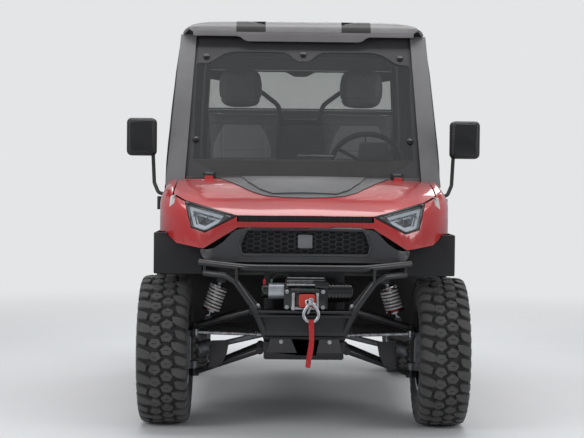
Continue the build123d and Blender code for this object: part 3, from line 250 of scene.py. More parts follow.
finish = {
    # deep red with a wet gloss
    "red": redCoat("clear_coated_red_abs"),
    # dull mid grey with a fine grain
    "roof": mouldedPlastic("grained_grey_roof_plastic", "7A7879", "6C6A6B", 0.42, 0.0012, 0.0004),
    # a shade darker than the roof
    "pillar": mouldedPlastic("grained_grey_pillar_plastic", "68686A", "5C5C5E", 0.40, 0.0012, 0.0004),
    # charcoal with a soft sheen round the grille
    "surround": mouldedPlastic("satin_charcoal_abs", "414144", "38383B", 0.36, 0.0010, 0.0003),
    # grey that parts the hood's red
    "insert": mouldedPlastic("satin_grey_hood_insert", "4E4E51", "454548", 0.38, 0.0010, 0.0003),
    # matt near-black with a grain that catches the light
    "black": mouldedPlastic("grained_black_polypropylene", "19191B", "121213", 0.48, 0.0014, 0.0005),
    # black with sharp highlights
    "gloss": mouldedPlastic("gloss_black_abs", "121213", "0D0D0E", 0.22, 0.002, 0.0001, coat=0.4, dust=0.04),
    # satin black of the tubes, a little blotchy
    "coat": mouldedPlastic("black_powder_coat", "252527", "1B1B1D", 0.34, 0.0008, 0.0003, dust=0.06,
                           blotch=6.0),
    # dull ribbed rubber on the load floor
    "mat": mouldedPlastic("ribbed_floor_rubber", "1E1D1D", "171616", 0.75, 0.003, 0.0008, dust=0.25),
    # dark seat cover, faintly leathery
    "vinyl": mouldedPlastic("dark_marine_vinyl", "706D6E", "605D5E", 0.5, 0.0022, 0.0006, dust=0.02),
    # pale panels on the seat backs
    "insertVinyl": mouldedPlastic("perforated_grey_vinyl", "A5A2A3", "959293", 0.5, 0.0022, 0.0006,
                                  dust=0.02),
    # quiet dark grey behind the glass
    "dash": mouldedPlastic("grained_dark_dash_plastic", "3E3D3F", "333234", 0.5, 0.0016, 0.0005, dust=0.05),
    # bright bolts and wire
    "steel": bareMetal("bright_zinc_plate", "C9CACC", "9A9B9E", 0.28, 0.02),
    # dull silver of the hook, slightly spotted
    "forged": bareMetal("forged_galvanised_steel", "C2C3C6", "8C8D90", 0.36, 0.012),
    # rough grey castings of the drive
    "cast": bareMetal("cast_aluminium", "8E8F92", "5F6063", 0.5, 0.015, 0.85),
    # smooth silver can of the winch
    "motor": bareMetal("silver_painted_motor_can", "B9BCC2", "A2A5AB", 0.32, 0.05, 0.6),
    # brownish silver where it ran hot
    "exhaust": bareMetal("heat_tinted_stainless", "9C948A", "5F564D", 0.38, 0.03),
    # mirror-bright rods
    "shock": bareMetal("hard_chrome_rod", "B5B6B9", "6E6F72", 0.25, 0.02),
    # clean white coils that stand out from the black
    "springWhite": mouldedPlastic("white_enamelled_spring_steel", "E4E2E0", "CFCDCB", 0.3, 0.003, 0.0001,
                                  coat=0.3),
    # red metal rings on the shock absorbers
    "redAnodised": bareMetal("red_anodised_aluminium", "B3202B", "8E1620", 0.35, 0.03, 0.7),
    # soft red of the plus terminal
    "redCap": mouldedPlastic("red_soft_vinyl_cap", "B81C2C", "9A1523", 0.5, 0.002, 0.0002),
    # soft green of the minus terminal
    "greenCap": mouldedPlastic("green_soft_vinyl_cap", "47695A", "3A574A", 0.5, 0.002, 0.0002),
    # orange-red rubber behind the hook
    "redPlate": mouldedPlastic("red_rubber_hook_stop", "C23A2B", "A92E22", 0.5, 0.002, 0.0003),
    # woven red with a soft sheen
    "webbing": wovenCloth("red_nylon_webbing", "B71B22", "8B1218", 0.004),
    # grey-black tread, paler than the sidewall rubber: painted light on the blocks
    "rubber": tyreRubber("scuffed_tread_rubber", "4C4B4A", "393838"),
    # the darkest plastic, over the wheels
    "flare": mouldedPlastic("dark_flare_plastic", "0F0F11", "0A0A0C", 0.5, 0.0014, 0.0005, dust=0.05),
    # darker and smoother than the tread; the darker tone is painted shade in the grooves and on the sidewall
    "carcass": tyreRubber("dark_sidewall_rubber", "2A2A2A", "1C1C1D"),
    # black enamel with a thin gloss
    "rimPaint": mouldedPlastic("black_rim_enamel", "1C1C1E", "141416", 0.3, 0.002, 0.0001, coat=0.3),
    # clear with a faint haze and reflections
    "glass": glassSheet("laminated_cab_glass", "E4E5E4", 0.04, 0.04),
    # black printed border of the panes
    "frit": mouldedPlastic("black_ceramic_frit", "3A393B", "323133", 0.3, 0.002, 0.0001, dust=0.02),
    # bright clear cover of the lamps
    "lens": glassSheet("clear_polycarbonate_lens", "F4F6F8", 0.02, 0.04, 1.58),
    # milky strip that outlines the lamp
    "guide": mouldedPlastic("milky_light_guide", "E9EAEC", "D6D8DB", 0.25, 0.003, 0.0001, coat=0.4, dust=0.0),
    # mirror inside the lamps
    "reflector": bareMetal("vacuum_metallised_reflector", "D5D7DA", "A9ABAF", 0.12, 0.03),
    # glossy deep red
    "tail": mouldedPlastic("red_tail_lens", "9E1216", "830D12", 0.16, 0.006, 0.0004, coat=0.7, dust=0.02),
    # clean silver
    "mirrorGlass": bareMetal("silvered_mirror_glass", "DDE0E2", "CFD2D4", 0.12, 0.2),
    # black cells with a small glint each
    "mesh": mouldedPlastic("satin_black_grille_abs", "2B2B2D", "232325", 0.30, 0.002, 0.0001, coat=0.3,
                           dust=0.02),
    # dull foam of the steering wheel
    "grip": mouldedPlastic("moulded_grip_foam", "1F1E1F", "171617", 0.55, 0.002, 0.0005, dust=0.02),
    # scuffed dark grey under the nose
    "skid": mouldedPlastic("worn_skid_plate_coat", "333235", "27272A", 0.42, 0.0008, 0.0003, dust=0.12,
                           blotch=7.0),
    # grey ring at the rim's edge
    "steelDark": bareMetal("black_zinc_ring", "4A4B4D", "2E2F31", 0.35, 0.02),
    # pale patch with nothing on it
    "sticker": mouldedPlastic("blank_pale_sticker", "C9C6C4", "B9B6B4", 0.35, 0.002, 0.0001, coat=0.2,
                              dust=0.02),
    # plain grey square in the grille
    "plate": mouldedPlastic("brushed_blank_badge", "77787B", "6B6C6F", 0.3, 0.001, 0.0001, coat=0.3),
}
print("finishes:", len(finish))


# making meshes

def newObject(name, mesh):
    piece = bpy.data.objects.new(name, mesh)
    bpy.context.scene.collection.objects.link(piece)
    return piece


def meshPiece(name, points, faces):
    mesh = bpy.data.meshes.new(name)
    mesh.from_pydata([tuple(p) for p in points], [], faces)
    mesh.update()
    return newObject(name, mesh)


def tidyMesh(piece, merge=0.00002):
    work = bmesh.new()
    work.from_mesh(piece.data)
    bmesh.ops.remove_doubles(work, verts=work.verts, dist=merge)
    bmesh.ops.recalc_face_normals(work, faces=work.faces)
    work.to_mesh(piece.data)
    work.free()
    return piece


def applyModifiers(piece):
    seen = piece.evaluated_get(bpy.context.evaluated_depsgraph_get())
    mesh = bpy.data.meshes.new_from_object(seen)
    old = piece.data
    piece.modifiers.clear()
    piece.data = mesh
    if old.users == 0 and isinstance(old, bpy.types.Mesh):
        bpy.data.meshes.remove(old)
    return piece


def smoothShade(piece, angle=35):
    mesh = piece.data
    mesh.polygons.foreach_set("use_smooth", [True] * len(mesh.polygons))
    work = bmesh.new()
    work.from_mesh(mesh)
    limit = math.radians(angle)
    for edge in work.edges:
        if len(edge.link_faces) == 2:
            edge.smooth = edge.calc_face_angle(0.0) < limit
    work.to_mesh(mesh)
    work.free()
    return piece


def bevelPiece(piece, width, segments=2, angle=32):
    bevel = piece.modifiers.new("bevel", "BEVEL")
    bevel.width = width
    bevel.segments = segments
    bevel.limit_method = "ANGLE"
    bevel.angle_limit = math.radians(angle)
    bevel.use_clamp_overlap = True
    bevel.harden_normals = False
    return applyModifiers(piece)


def joinPieces(name, parts):
    work = bmesh.new()
    materials = []
    for part in parts:
        mesh = part.data.copy()
        mesh.transform(part.matrix_world)
        shift = len(materials)
        materials += list(mesh.materials)
        for face in mesh.polygons:
            face.material_index += shift
        work.from_mesh(mesh)
        bpy.data.meshes.remove(mesh)
    joined = bpy.data.meshes.new(name)
    work.to_mesh(joined)
    work.free()
    for material in materials:
        joined.materials.append(material)
    for part in parts:
        bpy.data.objects.remove(part)
    return newObject(name, joined)


def finishPiece(piece, body, material=None, angle=35, hides=()):
    if material is not None:
        piece.data.materials.clear()
        piece.data.materials.append(finish[material])
    smoothShade(piece, angle)
    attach(piece, body)
    if hides:
        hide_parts(*hides)
    return piece


def finishJoined(name, parts, body, material=None, angle=35, hides=()):
    return finishPiece(joinPieces(name, parts), body, material, angle, hides)


def boxPiece(name, low, high, bevel=0.0, segments=2):
    work = bmesh.new()
    bmesh.ops.create_cube(work, size=1.0)
    size = Vector(high) - Vector(low)
    middle = (Vector(high) + Vector(low)) / 2
    for vert in work.verts:
        vert.co = Vector((vert.co.x * size.x, vert.co.y * size.y, vert.co.z * size.z)) + middle
    mesh = bpy.data.meshes.new(name)
    work.to_mesh(mesh)
    work.free()
    piece = newObject(name, mesh)
    return bevelPiece(piece, bevel, segments) if bevel else piece


def lathePiece(name, profile, centre, axis="X", segments=64, closed=False):
    # profile is (along, radius) pairs; a closed profile is a ring, an open one is capped at its ends
    points, faces = [], []
    count = len(profile)
    for step in range(segments):
        turn = 2 * math.pi * step / segments
        for along, radius in profile:
            a, b = radius * math.cos(turn), radius * math.sin(turn)
            place = {"X": (along, a, b), "Y": (b, along, a), "Z": (a, b, along)}[axis]
            points.append(Vector(place) + Vector(centre))
    last = count if closed else count - 1
    for step in range(segments):
        near, far = step * count, ((step + 1) % segments) * count
        for i in range(last):
            j = (i + 1) % count
            faces.append((near + i, near + j, far + j, far + i))
    if not closed:
        faces.append(tuple(step * count for step in range(segments))[::-1])
        faces.append(tuple(step * count + count - 1 for step in range(segments)))
    return tidyMesh(meshPiece(name, points, faces))


def tubePiece(name, points, radius, smooth=True, segments=12, closed=False):
    # round bar along points; smooth runs it through them as a NURBS line
    curve = bpy.data.curves.new(name, "CURVE")
    curve.dimensions = "3D"
    spline = curve.splines.new("NURBS" if smooth else "POLY")
    spline.points.add(len(points) - 1)
    for target, place in zip(spline.points, points):
        target.co = (*place, 1.0)
    spline.use_cyclic_u = closed
    if smooth:
        spline.order_u = 3
        spline.use_endpoint_u = not closed
        spline.resolution_u = 8
    curve.bevel_depth = radius
    curve.bevel_resolution = max(1, segments // 4)
    curve.use_fill_caps = True
    carrier = newObject(name, curve)
    seen = carrier.evaluated_get(bpy.context.evaluated_depsgraph_get())
    mesh = bpy.data.meshes.new_from_object(seen)
    bpy.data.objects.remove(carrier)
    return tidyMesh(newObject(name, mesh))


def platePiece(name, outline, plane, level, thick, bevel=0.0, segments=2):
    # flat outline, carried thick from level along the axis that the plane's name leaves out
    def place(a, b, c):
        return {"XZ": (a, c, b), "YZ": (c, a, b), "XY": (a, b, c)}[plane]
    count = len(outline)
    points = [place(a, b, level) for a, b in outline] + [place(a, b, level + thick) for a, b in outline]
    faces = [tuple(range(count)), tuple(range(2 * count - 1, count - 1, -1))]
    faces += [(i, (i + 1) % count, (i + 1) % count + count, i + count) for i in range(count)]
    piece = tidyMesh(meshPiece(name, points, faces))
    return bevelPiece(piece, bevel, segments) if bevel else piece


def roundCorners(outline, radius, steps=5):
    result = []
    count = len(outline)
    for i in range(count):
        before, corner, after = (Vector(outline[(i + k) % count]) for k in (-1, 0, 1))
        reach = min(radius, (before - corner).length / 2.1, (after - corner).length / 2.1)
        start = corner + (before - corner).normalized() * reach
        end = corner + (after - corner).normalized() * reach
        for step in range(steps + 1):
            t = step / steps
            result.append(tuple((1 - t) ** 2 * start + 2 * t * (1 - t) * corner + t ** 2 * end))
    return result


def roundBox(left, low, right, high, radius, steps=5):
    corners = [(left, low), (right, low), (right, high), (left, high)]
    return roundCorners(corners, radius, steps)


# Geometry Nodes trees for what repeats

def newTree(name, inputs):
    tree = bpy.data.node_groups.new(name, "GeometryNodeTree")
    tree.interface.new_socket("Geometry", in_out="INPUT", socket_type="NodeSocketGeometry")
    for label, kind, value in inputs:
        socket = tree.interface.new_socket(label, in_out="INPUT", socket_type=kind)
        if value is not None:
            socket.default_value = value
    tree.interface.new_socket("Geometry", in_out="OUTPUT", socket_type="NodeSocketGeometry")
    return tree, addNode(tree, "NodeGroupInput").outputs


def closeTree(tree, geometry, given):
    real = addNode(tree, "GeometryNodeRealizeInstances", None, {0: geometry})
    coloured = addNode(tree, "GeometryNodeSetMaterial", None,
                       {"Geometry": real.outputs[0], "Material": given["Material"]})
    addNode(tree, "NodeGroupOutput", None, {0: coloured.outputs[0]})


def runTree(tree, name, values, carrier=None):
    # the modifier's inputs are set by socket identifier, the result is a plain mesh
    if carrier is None:
        carrier = meshPiece(name + "_carrier", [(0, 0, 0)], [])
    modifier = carrier.modifiers.new("nodes", "NODES")
    modifier.node_group = tree
    for item in tree.interface.items_tree:
        if item.in_out == "INPUT" and item.name in values:
            modifier[item.identifier] = values[item.name]
    bpy.context.view_layer.update()
    seen = carrier.evaluated_get(bpy.context.evaluated_depsgraph_get())
    mesh = bpy.data.meshes.new_from_object(seen)
    mesh.name = name
    bpy.data.objects.remove(carrier)
    return newObject(name, mesh)


# copies of a part turned round an axis along X through Centre
ringTree, given = newTree("ring_of_parts", [
    ("Part", "NodeSocketObject", None), ("Count", "NodeSocketInt", 8), ("Start", "NodeSocketFloat", 0.0),
    ("Centre", "NodeSocketVector", (0, 0, 0)), ("Material", "NodeSocketMaterial", None)])
spots = addNode(ringTree, "GeometryNodePoints", None, {"Count": given["Count"]})
share = addNode(ringTree, "ShaderNodeMath", {"operation": "DIVIDE", 0: 2 * math.pi}, {1: given["Count"]})
turned = addNode(ringTree, "ShaderNodeMath", {"operation": "MULTIPLY"},
                 {0: addNode(ringTree, "GeometryNodeInputIndex").outputs[0], 1: share.outputs[0]})
started = addNode(ringTree, "ShaderNodeMath", {"operation": "ADD"}, {0: turned.outputs[0], 1: given["Start"]})
facing = addNode(ringTree, "ShaderNodeCombineXYZ", None, {"X": started.outputs[0]})
source = addNode(ringTree, "GeometryNodeObjectInfo", None, {"Object": given["Part"]})
placed = addNode(ringTree, "GeometryNodeInstanceOnPoints", None,
                 {"Points": spots.outputs[0], "Instance": source.outputs["Geometry"],
                  "Rotation": facing.outputs[0]})
moved = addNode(ringTree, "GeometryNodeTransform", None,
                {0: placed.outputs[0], "Translation": given["Centre"]})
closeTree(ringTree, moved.outputs[0], given)

# a part on each of the carrier's points, its Z turned to the point's "facing"
spotTree, given = newTree("part_on_spots", [
    ("Part", "NodeSocketObject", None), ("Size", "NodeSocketFloat", 1.0),
    ("Material", "NodeSocketMaterial", None)])
facing = addNode(spotTree, "GeometryNodeInputNamedAttribute", {"data_type": "FLOAT_VECTOR", "Name": "facing"})
turned = addNode(spotTree, "FunctionNodeAlignRotationToVector", {"axis": "Z"}, {"Vector": facing.outputs[0]})
source = addNode(spotTree, "GeometryNodeObjectInfo", None, {"Object": given["Part"]})
placed = addNode(spotTree, "GeometryNodeInstanceOnPoints", None,
                 {"Points": given["Geometry"], "Instance": source.outputs["Geometry"],
                  "Rotation": turned.outputs[0], "Scale": given["Size"]})
closeTree(spotTree, placed.outputs[0], given)

# a coil spring along Z, from Z 0 up to Height
coilTree, given = newTree("coil_spring", [
    ("Turns", "NodeSocketFloat", 6.0), ("Radius", "NodeSocketFloat", 0.04),
    ("Height", "NodeSocketFloat", 0.12),
    ("Wire", "NodeSocketFloat", 0.005), ("Material", "NodeSocketMaterial", None)])
helix = addNode(coilTree, "GeometryNodeCurveSpiral", {"Resolution": 28},
                {"Rotations": given["Turns"], "Start Radius": given["Radius"], "End Radius": given["Radius"],
                 "Height": given["Height"]})
wire = addNode(coilTree, "GeometryNodeCurvePrimitiveCircle", {"Resolution": 10}, {"Radius": given["Wire"]})
wound = addNode(coilTree, "GeometryNodeCurveToMesh", {"Fill Caps": True},
                {"Curve": helix.outputs[0], "Profile Curve": wire.outputs[0]})
shaded = addNode(coilTree, "GeometryNodeSetShadeSmooth", None, {"Geometry": wound.outputs[0]})
closeTree(coilTree, shaded.outputs[0], given)


def ringPiece(name, part, count, start, centre, material):
    return runTree(ringTree, name, {"Part": part, "Count": count, "Start": start, "Centre": tuple(centre),
                                    "Material": finish[material]})


def spotPiece(name, part, places, material, size=1.0):
    # places are (point, direction) pairs
    carrier = meshPiece(name + "_spots", [p for p, d in places], [])
    layer = carrier.data.attributes.new("facing", "FLOAT_VECTOR", "POINT")
    for item, (p, d) in zip(layer.data, places):
        item.vector = Vector(d).normalized()
    return runTree(spotTree, name, {"Part": part, "Size": size, "Material": finish[material]}, carrier)


# CAD nodes shown as they are, with their edges rounded

bodyOf = {node: body for body, nodes in frame["record"]["behaviour"]["bodies"].items() for node in nodes}


def softenNode(node, material, width=0.003, segments=2, angle=40, name=None):
    # width 0 keeps the CAD's own facets, which only get smooth shading
    mesh = frame["nodes"][node].data.copy()
    piece = newObject(name or node + "_moulded", mesh)
    work = bmesh.new()
    work.from_mesh(mesh)
    bmesh.ops.remove_doubles(work, verts=work.verts, dist=0.00001)
    if width:
        bmesh.ops.dissolve_limit(work, angle_limit=math.radians(1.5), verts=work.verts, edges=work.edges)
    work.to_mesh(mesh)
    work.free()
    if width:
        bevelPiece(piece, width, segments, angle)
    return finishPiece(piece, bodyOf[node], material, hides=(node,))


def finishNode(node, material):
    target = frame["nodes"][node]
    target.data.materials.clear()
    target.data.materials.append(finish[material])


# camera, lamps and floor first

cameraPlace = {"across": -0.125, "distance": 7.0, "height": 1.154, "pitch": 1.67, "yaw": -0.566, "roll": 0.6,
               "lens": 93.1}


def setCamera():
    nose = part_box("front_left_tyre")
    axleY = (nose[0].y + nose[1].y) / 2
    camera = bpy.data.cameras.new("camera")
    camera.lens = cameraPlace["lens"]
    camera.sensor_width = 36.0
    holder = newObject("camera", camera)
    holder.location = (cameraPlace["across"], axleY - cameraPlace["distance"], cameraPlace["height"])
    turn = Matrix.Rotation(math.radians(cameraPlace["yaw"]), 3, "Z")
    turn = turn @ Matrix.Rotation(math.radians(90 - cameraPlace["pitch"]), 3, "X")
    holder.rotation_euler = (turn @ Matrix.Rotation(math.radians(cameraPlace["roll"]), 3, "Z")).to_euler()
    bpy.context.scene.camera = holder


def areaLamp(name, place, target, size, power, colour="FFFFFF"):
    lamp = bpy.data.lights.new(name, "AREA")
    lamp.shape = "RECTANGLE"
    lamp.size, lamp.size_y = size
    lamp.energy = power
    lamp.color = hexColour(colour)[:3]
    holder = newObject(name, lamp)
    holder.location = place
    holder.rotation_euler = (Vector(target) - Vector(place)).to_track_quat("-Z", "Y").to_euler()


def setStage():
    world = bpy.data.worlds.new("studio")
    bpy.context.scene.world = world
    world.use_nodes = True
    tree = world.node_tree
    tree.nodes.clear()
    ray = addNode(tree, "ShaderNodeLightPath")
    seen = addNode(tree, "ShaderNodeMath", {"operation": "MAXIMUM"},
                   {0: ray.outputs["Is Camera Ray"], 1: ray.outputs["Is Transmission Ray"]})
    lit = addNode(tree, "ShaderNodeBackground", {"Color": hexColour("DDE1E6"), "Strength": 0.55})
    shown = addNode(tree, "ShaderNodeBackground", {"Color": hexColour("E4E5E6"), "Strength": 1.0})
    mix = addNode(tree, "ShaderNodeMixShader", None,
                  {0: seen.outputs[0], 1: lit.outputs[0], 2: shown.outputs[0]})
    addNode(tree, "ShaderNodeOutputWorld", None, {"Surface": mix.outputs[0]})
    areaLamp("overhead_softbox", (0.0, -0.1, 4.6), (0, -0.1, 0.6), (5.0, 3.0), 150)
    areaLamp("left_softbox", (-4.2, -4.4, 2.9), (0, -0.4, 0.9), (2.4, 2.0), 95)
    areaLamp("right_softbox", (4.4, -3.6, 2.4), (0, -0.2, 0.9), (2.0, 2.2), 70)
    areaLamp("rear_softbox", (0.5, 5.2, 3.4), (0, 0.4, 1.0), (4.0, 2.0), 90)
    floor = meshPiece("studio_floor", [(-30, -30, 0), (30, -30, 0), (30, 30, 0), (-30, 30, 0)],
                      [(0, 1, 2, 3)])
    material, tree, shader, where = newMaterial("pale_seamless_floor", {"Roughness": 0.75})
    cloudy = addNode(tree, "ShaderNodeTexNoise", {"Scale": 0.6, "Detail": 3.0}, {"Vector": where})
    tone = addNode(tree, "ShaderNodeMix",
                   {"data_type": "RGBA", 6: hexColour("D2D3D4"), 7: hexColour("DCDDDE")},
                   {0: cloudy.outputs["Fac"]})
    tree.links.new(tone.outputs[2], shader.inputs["Base Color"])
    # away from the vehicle the floor takes the backdrop's own tone, for the camera only
    reach = addNode(tree, "ShaderNodeVectorMath", {"operation": "LENGTH"}, {0: where})
    fade = addNode(tree, "ShaderNodeMapRange",
                   {"interpolation_type": "SMOOTHSTEP", "From Min": 2.2, "From Max": 7.5},
                   {"Value": reach.outputs["Value"]})
    ray = addNode(tree, "ShaderNodeLightPath")
    seen = addNode(tree, "ShaderNodeMath", {"operation": "MULTIPLY"},
                   {0: ray.outputs["Is Camera Ray"], 1: fade.outputs[0]})
    backdrop = addNode(tree, "ShaderNodeEmission", {"Color": hexColour("E4E5E6"), "Strength": 1.0})
    mix = addNode(tree, "ShaderNodeMixShader", None,
                  {0: seen.outputs[0], 1: shader.outputs[0], 2: backdrop.outputs[0]})
    out = [node for node in tree.nodes if node.type == "OUTPUT_MATERIAL"][0]
    tree.links.new(mix.outputs[0], out.inputs["Surface"])
    floor.data.materials.append(material)


setCamera()
setStage()
bpy.context.scene.view_settings.view_transform = "Standard"
print("camera, lamps and floor are set")

# tyres

tyre = {
    "radius": 0.343, "crown": 0.3265, "half": 0.1145, "bead": 0.188, "blocks": 36, "column": 0.027,
    "outline": [(-0.026, 0.003), (-0.012, 0.022), (0.018, 0.019), (0.0275, -0.0035), (0.003, -0.023),
                (-0.022, -0.009)],
    "slit": [(-0.011, 0.0002), (-0.007, 0.0016), (0.007, 0.0016), (0.011, -0.0002), (0.007, -0.0016),
             (-0.007, -0.0016)],
    "slitDepth": 0.004, "longLug": 0.046, "shortLug": 0.061,
}


def carcass(name, centre):
    half, crown, bead = tyre["half"], tyre["crown"], tyre["bead"]
    outer = [(0.094, bead), (0.101, bead + 0.004), (0.104, bead + 0.016), (0.109, bead + 0.030),
             (0.1135, bead + 0.052), (half, bead + 0.074), (0.1135, bead + 0.096), (0.1095, bead + 0.112),
             (0.1010, crown - 0.009), (0.086, crown - 0.003), (0.055, crown), (0.020, crown + 0.001)]
    inner = [(0.0, crown - 0.014), (-0.080, crown - 0.018), (-0.098, bead + 0.075), (-0.090, bead + 0.004)]
    profile = outer + [(-x, r) for x, r in reversed(outer)] + [inner[3], inner[2], inner[1], inner[0]]
    profile += [(-x, r) for x, r in (inner[1], inner[2], inner[3])]
    return lathePiece(name, profile, centre, "X", 108, closed=True)


def onTread(across, along, radius):
    turn = along / tyre["radius"]
    return (across, -radius * math.sin(turn), radius * math.cos(turn))


def treadBlock(name, side):
    # a hexagonal block with a slit in its top, wrapped on the crown
    outline = [(side * (a - tyre["column"]), -side * s) for a, s in tyre["outline"]]
    slit = [(side * (a - tyre["column"]), -side * s) for a, s in tyre["slit"]]
    count = len(outline)
    middle = (sum(a for a, s in outline) / count, sum(s for a, s in outline) / count)
    top, base = tyre["radius"] - 0.0006, tyre["crown"] - 0.002

    def shrink(share):
        return [(middle[0] + (a - middle[0]) * share, middle[1] + (s - middle[1]) * share)
                for a, s in outline]
    rings = [(shrink(1.10), base), (shrink(1.0), top - 0.0024), (shrink(0.92), top), (slit, top),
             (slit, top - tyre["slitDepth"])]
    points = [onTread(a, s, r - 3.0 * abs(a) ** 3.2) for ring, r in rings for a, s in ring]
    faces = []
    for level in range(len(rings) - 1):
        near, far = level * count, (level + 1) * count
        faces += [(near + i, near + (i + 1) % count, far + (i + 1) % count, far + i) for i in range(count)]
    faces.append(tuple(range((len(rings) - 1) * count, len(rings) * count)))
    faces.append(tuple(reversed(range(count))))
    return tidyMesh(meshPiece(name, points, faces))


def shoulderLug(name, side, inner, half):
    # a slanted lug that starts on the tread and wraps down over the shoulder
    stations = [(inner, 0.3425, 0.72), (0.075, 0.3420, 1.0), (0.094, 0.3385, 1.04), (0.106, 0.3310, 1.0),
                (0.1125, 0.3160, 0.92), (0.1142, 0.2990, 0.74)]
    rows, count = [], 4
    for number, (across, r, share) in enumerate(stations):
        lean = 0.010 * (across - 0.08) / 0.034 * side
        tip = 0.006 if number == 0 else 0.0
        normal = ((0.0, 1.0) if number < 2 else (0.35, 0.94) if number == 2 else (0.8, 0.6) if number == 3
                  else (1, 0.1))
        for s, drop in ((-half * share * 1.14, 0.018), (-half * share, 0.0015), (half * share, 0.0015),
                        (half * share * 1.14, 0.018)):
            shift = tip if s > 0 else 0.0
            rows.append(onTread(side * (across + shift - normal[0] * drop * 0.9), s + lean,
                                r - normal[1] * drop))
    faces = []
    for row in range(len(stations) - 1):
        near, far = row * count, (row + 1) * count
        faces += [(near + i, near + i + 1, far + i + 1, far + i) for i in range(count - 1)]
        faces.append((near + 3, near, far, far + 3))
    faces.append((0, 1, 2, 3))
    faces.append(tuple(range(len(rows) - 4, len(rows))))
    return bevelPiece(tidyMesh(meshPiece(name, rows, faces)), 0.0012, 1, 40)


def sidewallRib(name, side):
    # a short radial rib low on the sidewall
    bead = tyre["bead"]
    rows = [(0.1120, bead + 0.045, 0.006), (0.1135, bead + 0.056, 0.006), (0.1138, bead + 0.088, 0.004)]
    points = []
    for across, r, half in rows:
        for s, out in ((-half - 0.002, -0.002), (-half, 0.0016), (half, 0.0016), (half + 0.002, -0.002)):
            points.append(onTread(side * min(across + out, 0.1144), s, r))
    faces = [(0, 1, 2, 3), (8, 9, 10, 11)]
    for row in (0, 4):
        faces += [(row + i, row + i + 1, row + i + 5, row + i + 4) for i in range(3)]
        faces.append((row + 3, row, row + 4, row + 7))
    return tidyMesh(meshPiece(name, points, faces))


def makeTyres():
    step = 2 * math.pi / tyre["blocks"]
    half = tyre["blocks"] // 2
    kinds = [(treadBlock("block_right", 1), tyre["blocks"], 0.0),
             (treadBlock("block_left", -1), tyre["blocks"], 0.5)]
    for side, start in ((1, 0.28), (-1, 0.78)):
        kinds.append((shoulderLug("long_lug", side, tyre["longLug"], 0.0195), half, start))
        kinds.append((shoulderLug("short_lug", side, tyre["shortLug"], 0.0175), half, start + 1.0))
        kinds.append((sidewallRib("rib", side), tyre["blocks"], start + 0.5))
    for end in ("front", "rear"):
        for side in ("left", "right"):
            node = end + "_" + side + "_tyre"
            low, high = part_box(node)
            centre = (low + high) / 2
            body = carcass("carcass", centre)
            # the carcass under the blocks takes the darker rubber, painted shade in the grooves between them
            body.data.materials.append(finish["carcass"])
            parts = [body]
            for part, count, start in kinds:
                parts.append(ringPiece("tread", part, count, start * step, centre, "rubber"))
            piece = joinPieces(node + "_treaded", parts)
            finishPiece(piece, end + "_" + side + "_wheel", None, 30, hides=(node,))
    for part, count, start in kinds:
        bpy.data.objects.remove(part)


makeTyres()
print("tyres are made")

# coil springs on the shock absorbers

spring = {"topX": 0.380, "topZ": 0.668, "footX": 0.440, "footZ": 0.492, "start": 0.20, "end": 0.81,
          "radius": 0.0375, "wire": 0.0052, "turns": 6.5}


def makeSprings():
    parts, collars = [], []
    for axle in ("front", "rear"):
        low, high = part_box(axle + "_left_tyre")
        axleY = (low.y + high.y) / 2
        for side in (-1, 1):
            top = Vector((side * spring["topX"], axleY, spring["topZ"]))
            foot = Vector((side * spring["footX"], axleY, spring["footZ"]))
            start = top.lerp(foot, spring["start"] + 0.03)
            end = top.lerp(foot, spring["end"] - 0.03)
            coil = runTree(coilTree, "coil", {"Turns": spring["turns"], "Radius": spring["radius"],
                                              "Height": (end - start).length, "Wire": spring["wire"],
                                              "Material": finish["springWhite"]})
            turn = (end - start).to_track_quat("Z", "X").to_matrix().to_4x4()
            coil.data.transform(Matrix.Translation(start) @ turn)
            parts.append(coil)
            for share, radius, thick in ((0.775, 0.036, 0.012), (0.815, 0.027, 0.016), (0.205, 0.034, 0.010)):
                collar = lathePiece("collar", [(-thick / 2, radius * 0.86), (-thick / 2 + 0.002, radius),
                                               (thick / 2 - 0.002, radius), (thick / 2, radius * 0.86)],
                                    (0, 0, 0), "Z", 32)
                collar.data.transform(Matrix.Translation(top.lerp(foot, share)) @ turn)
                collars.append(collar)
    finishJoined("suspension_coils", parts, "chassis", "springWhite", 60,
                hides=("springs",))
    finishJoined("spring_collars", collars, "chassis", "redAnodised", 40)


makeSprings()
print("springs are made")

# the nose: pieces laid on the CAD skin

def skinOf(*nodes):
    work = bmesh.new()
    for node in nodes:
        work.from_mesh(frame["nodes"][node].data)
    tree = BVHTree.FromBMesh(work)
    work.free()
    return tree


noseSkin = skinOf("hood", "front_fenders", "bumper_cover", "headlights")
ahead, downward = Vector((0, 1, 0)), Vector((0, 0, -1))


def onSkin(skin, a, b, way):
    # a, b are X, Z for ahead, X, Y for down and Y, Z for side
    # skin is a BVH tree or a function that gives the depth
    if callable(skin):
        reach, depth = 0.002, skin(a, b)
        slopeA = (skin(a + reach, b) - skin(a - reach, b)) / (2 * reach)
        slopeB = (skin(a, b + reach) - skin(a, b - reach)) / (2 * reach)
        if way == "ahead":
            return Vector((a, depth, b)), Vector((slopeA, -1.0, slopeB)).normalized()
        if way == "side":
            return Vector((depth, a, b)), Vector((1.0, -slopeA, -slopeB)).normalized()
        return Vector((a, b, depth)), Vector((-slopeA, -slopeB, 1.0)).normalized()
    start = Vector((a, cadBox[0][1] - 0.5, b)) if way == "ahead" else Vector((a, b, cadBox[1][2] + 0.5))
    place, normal, index, distance = skin.ray_cast(start, ahead if way == "ahead" else downward)
    return place, normal


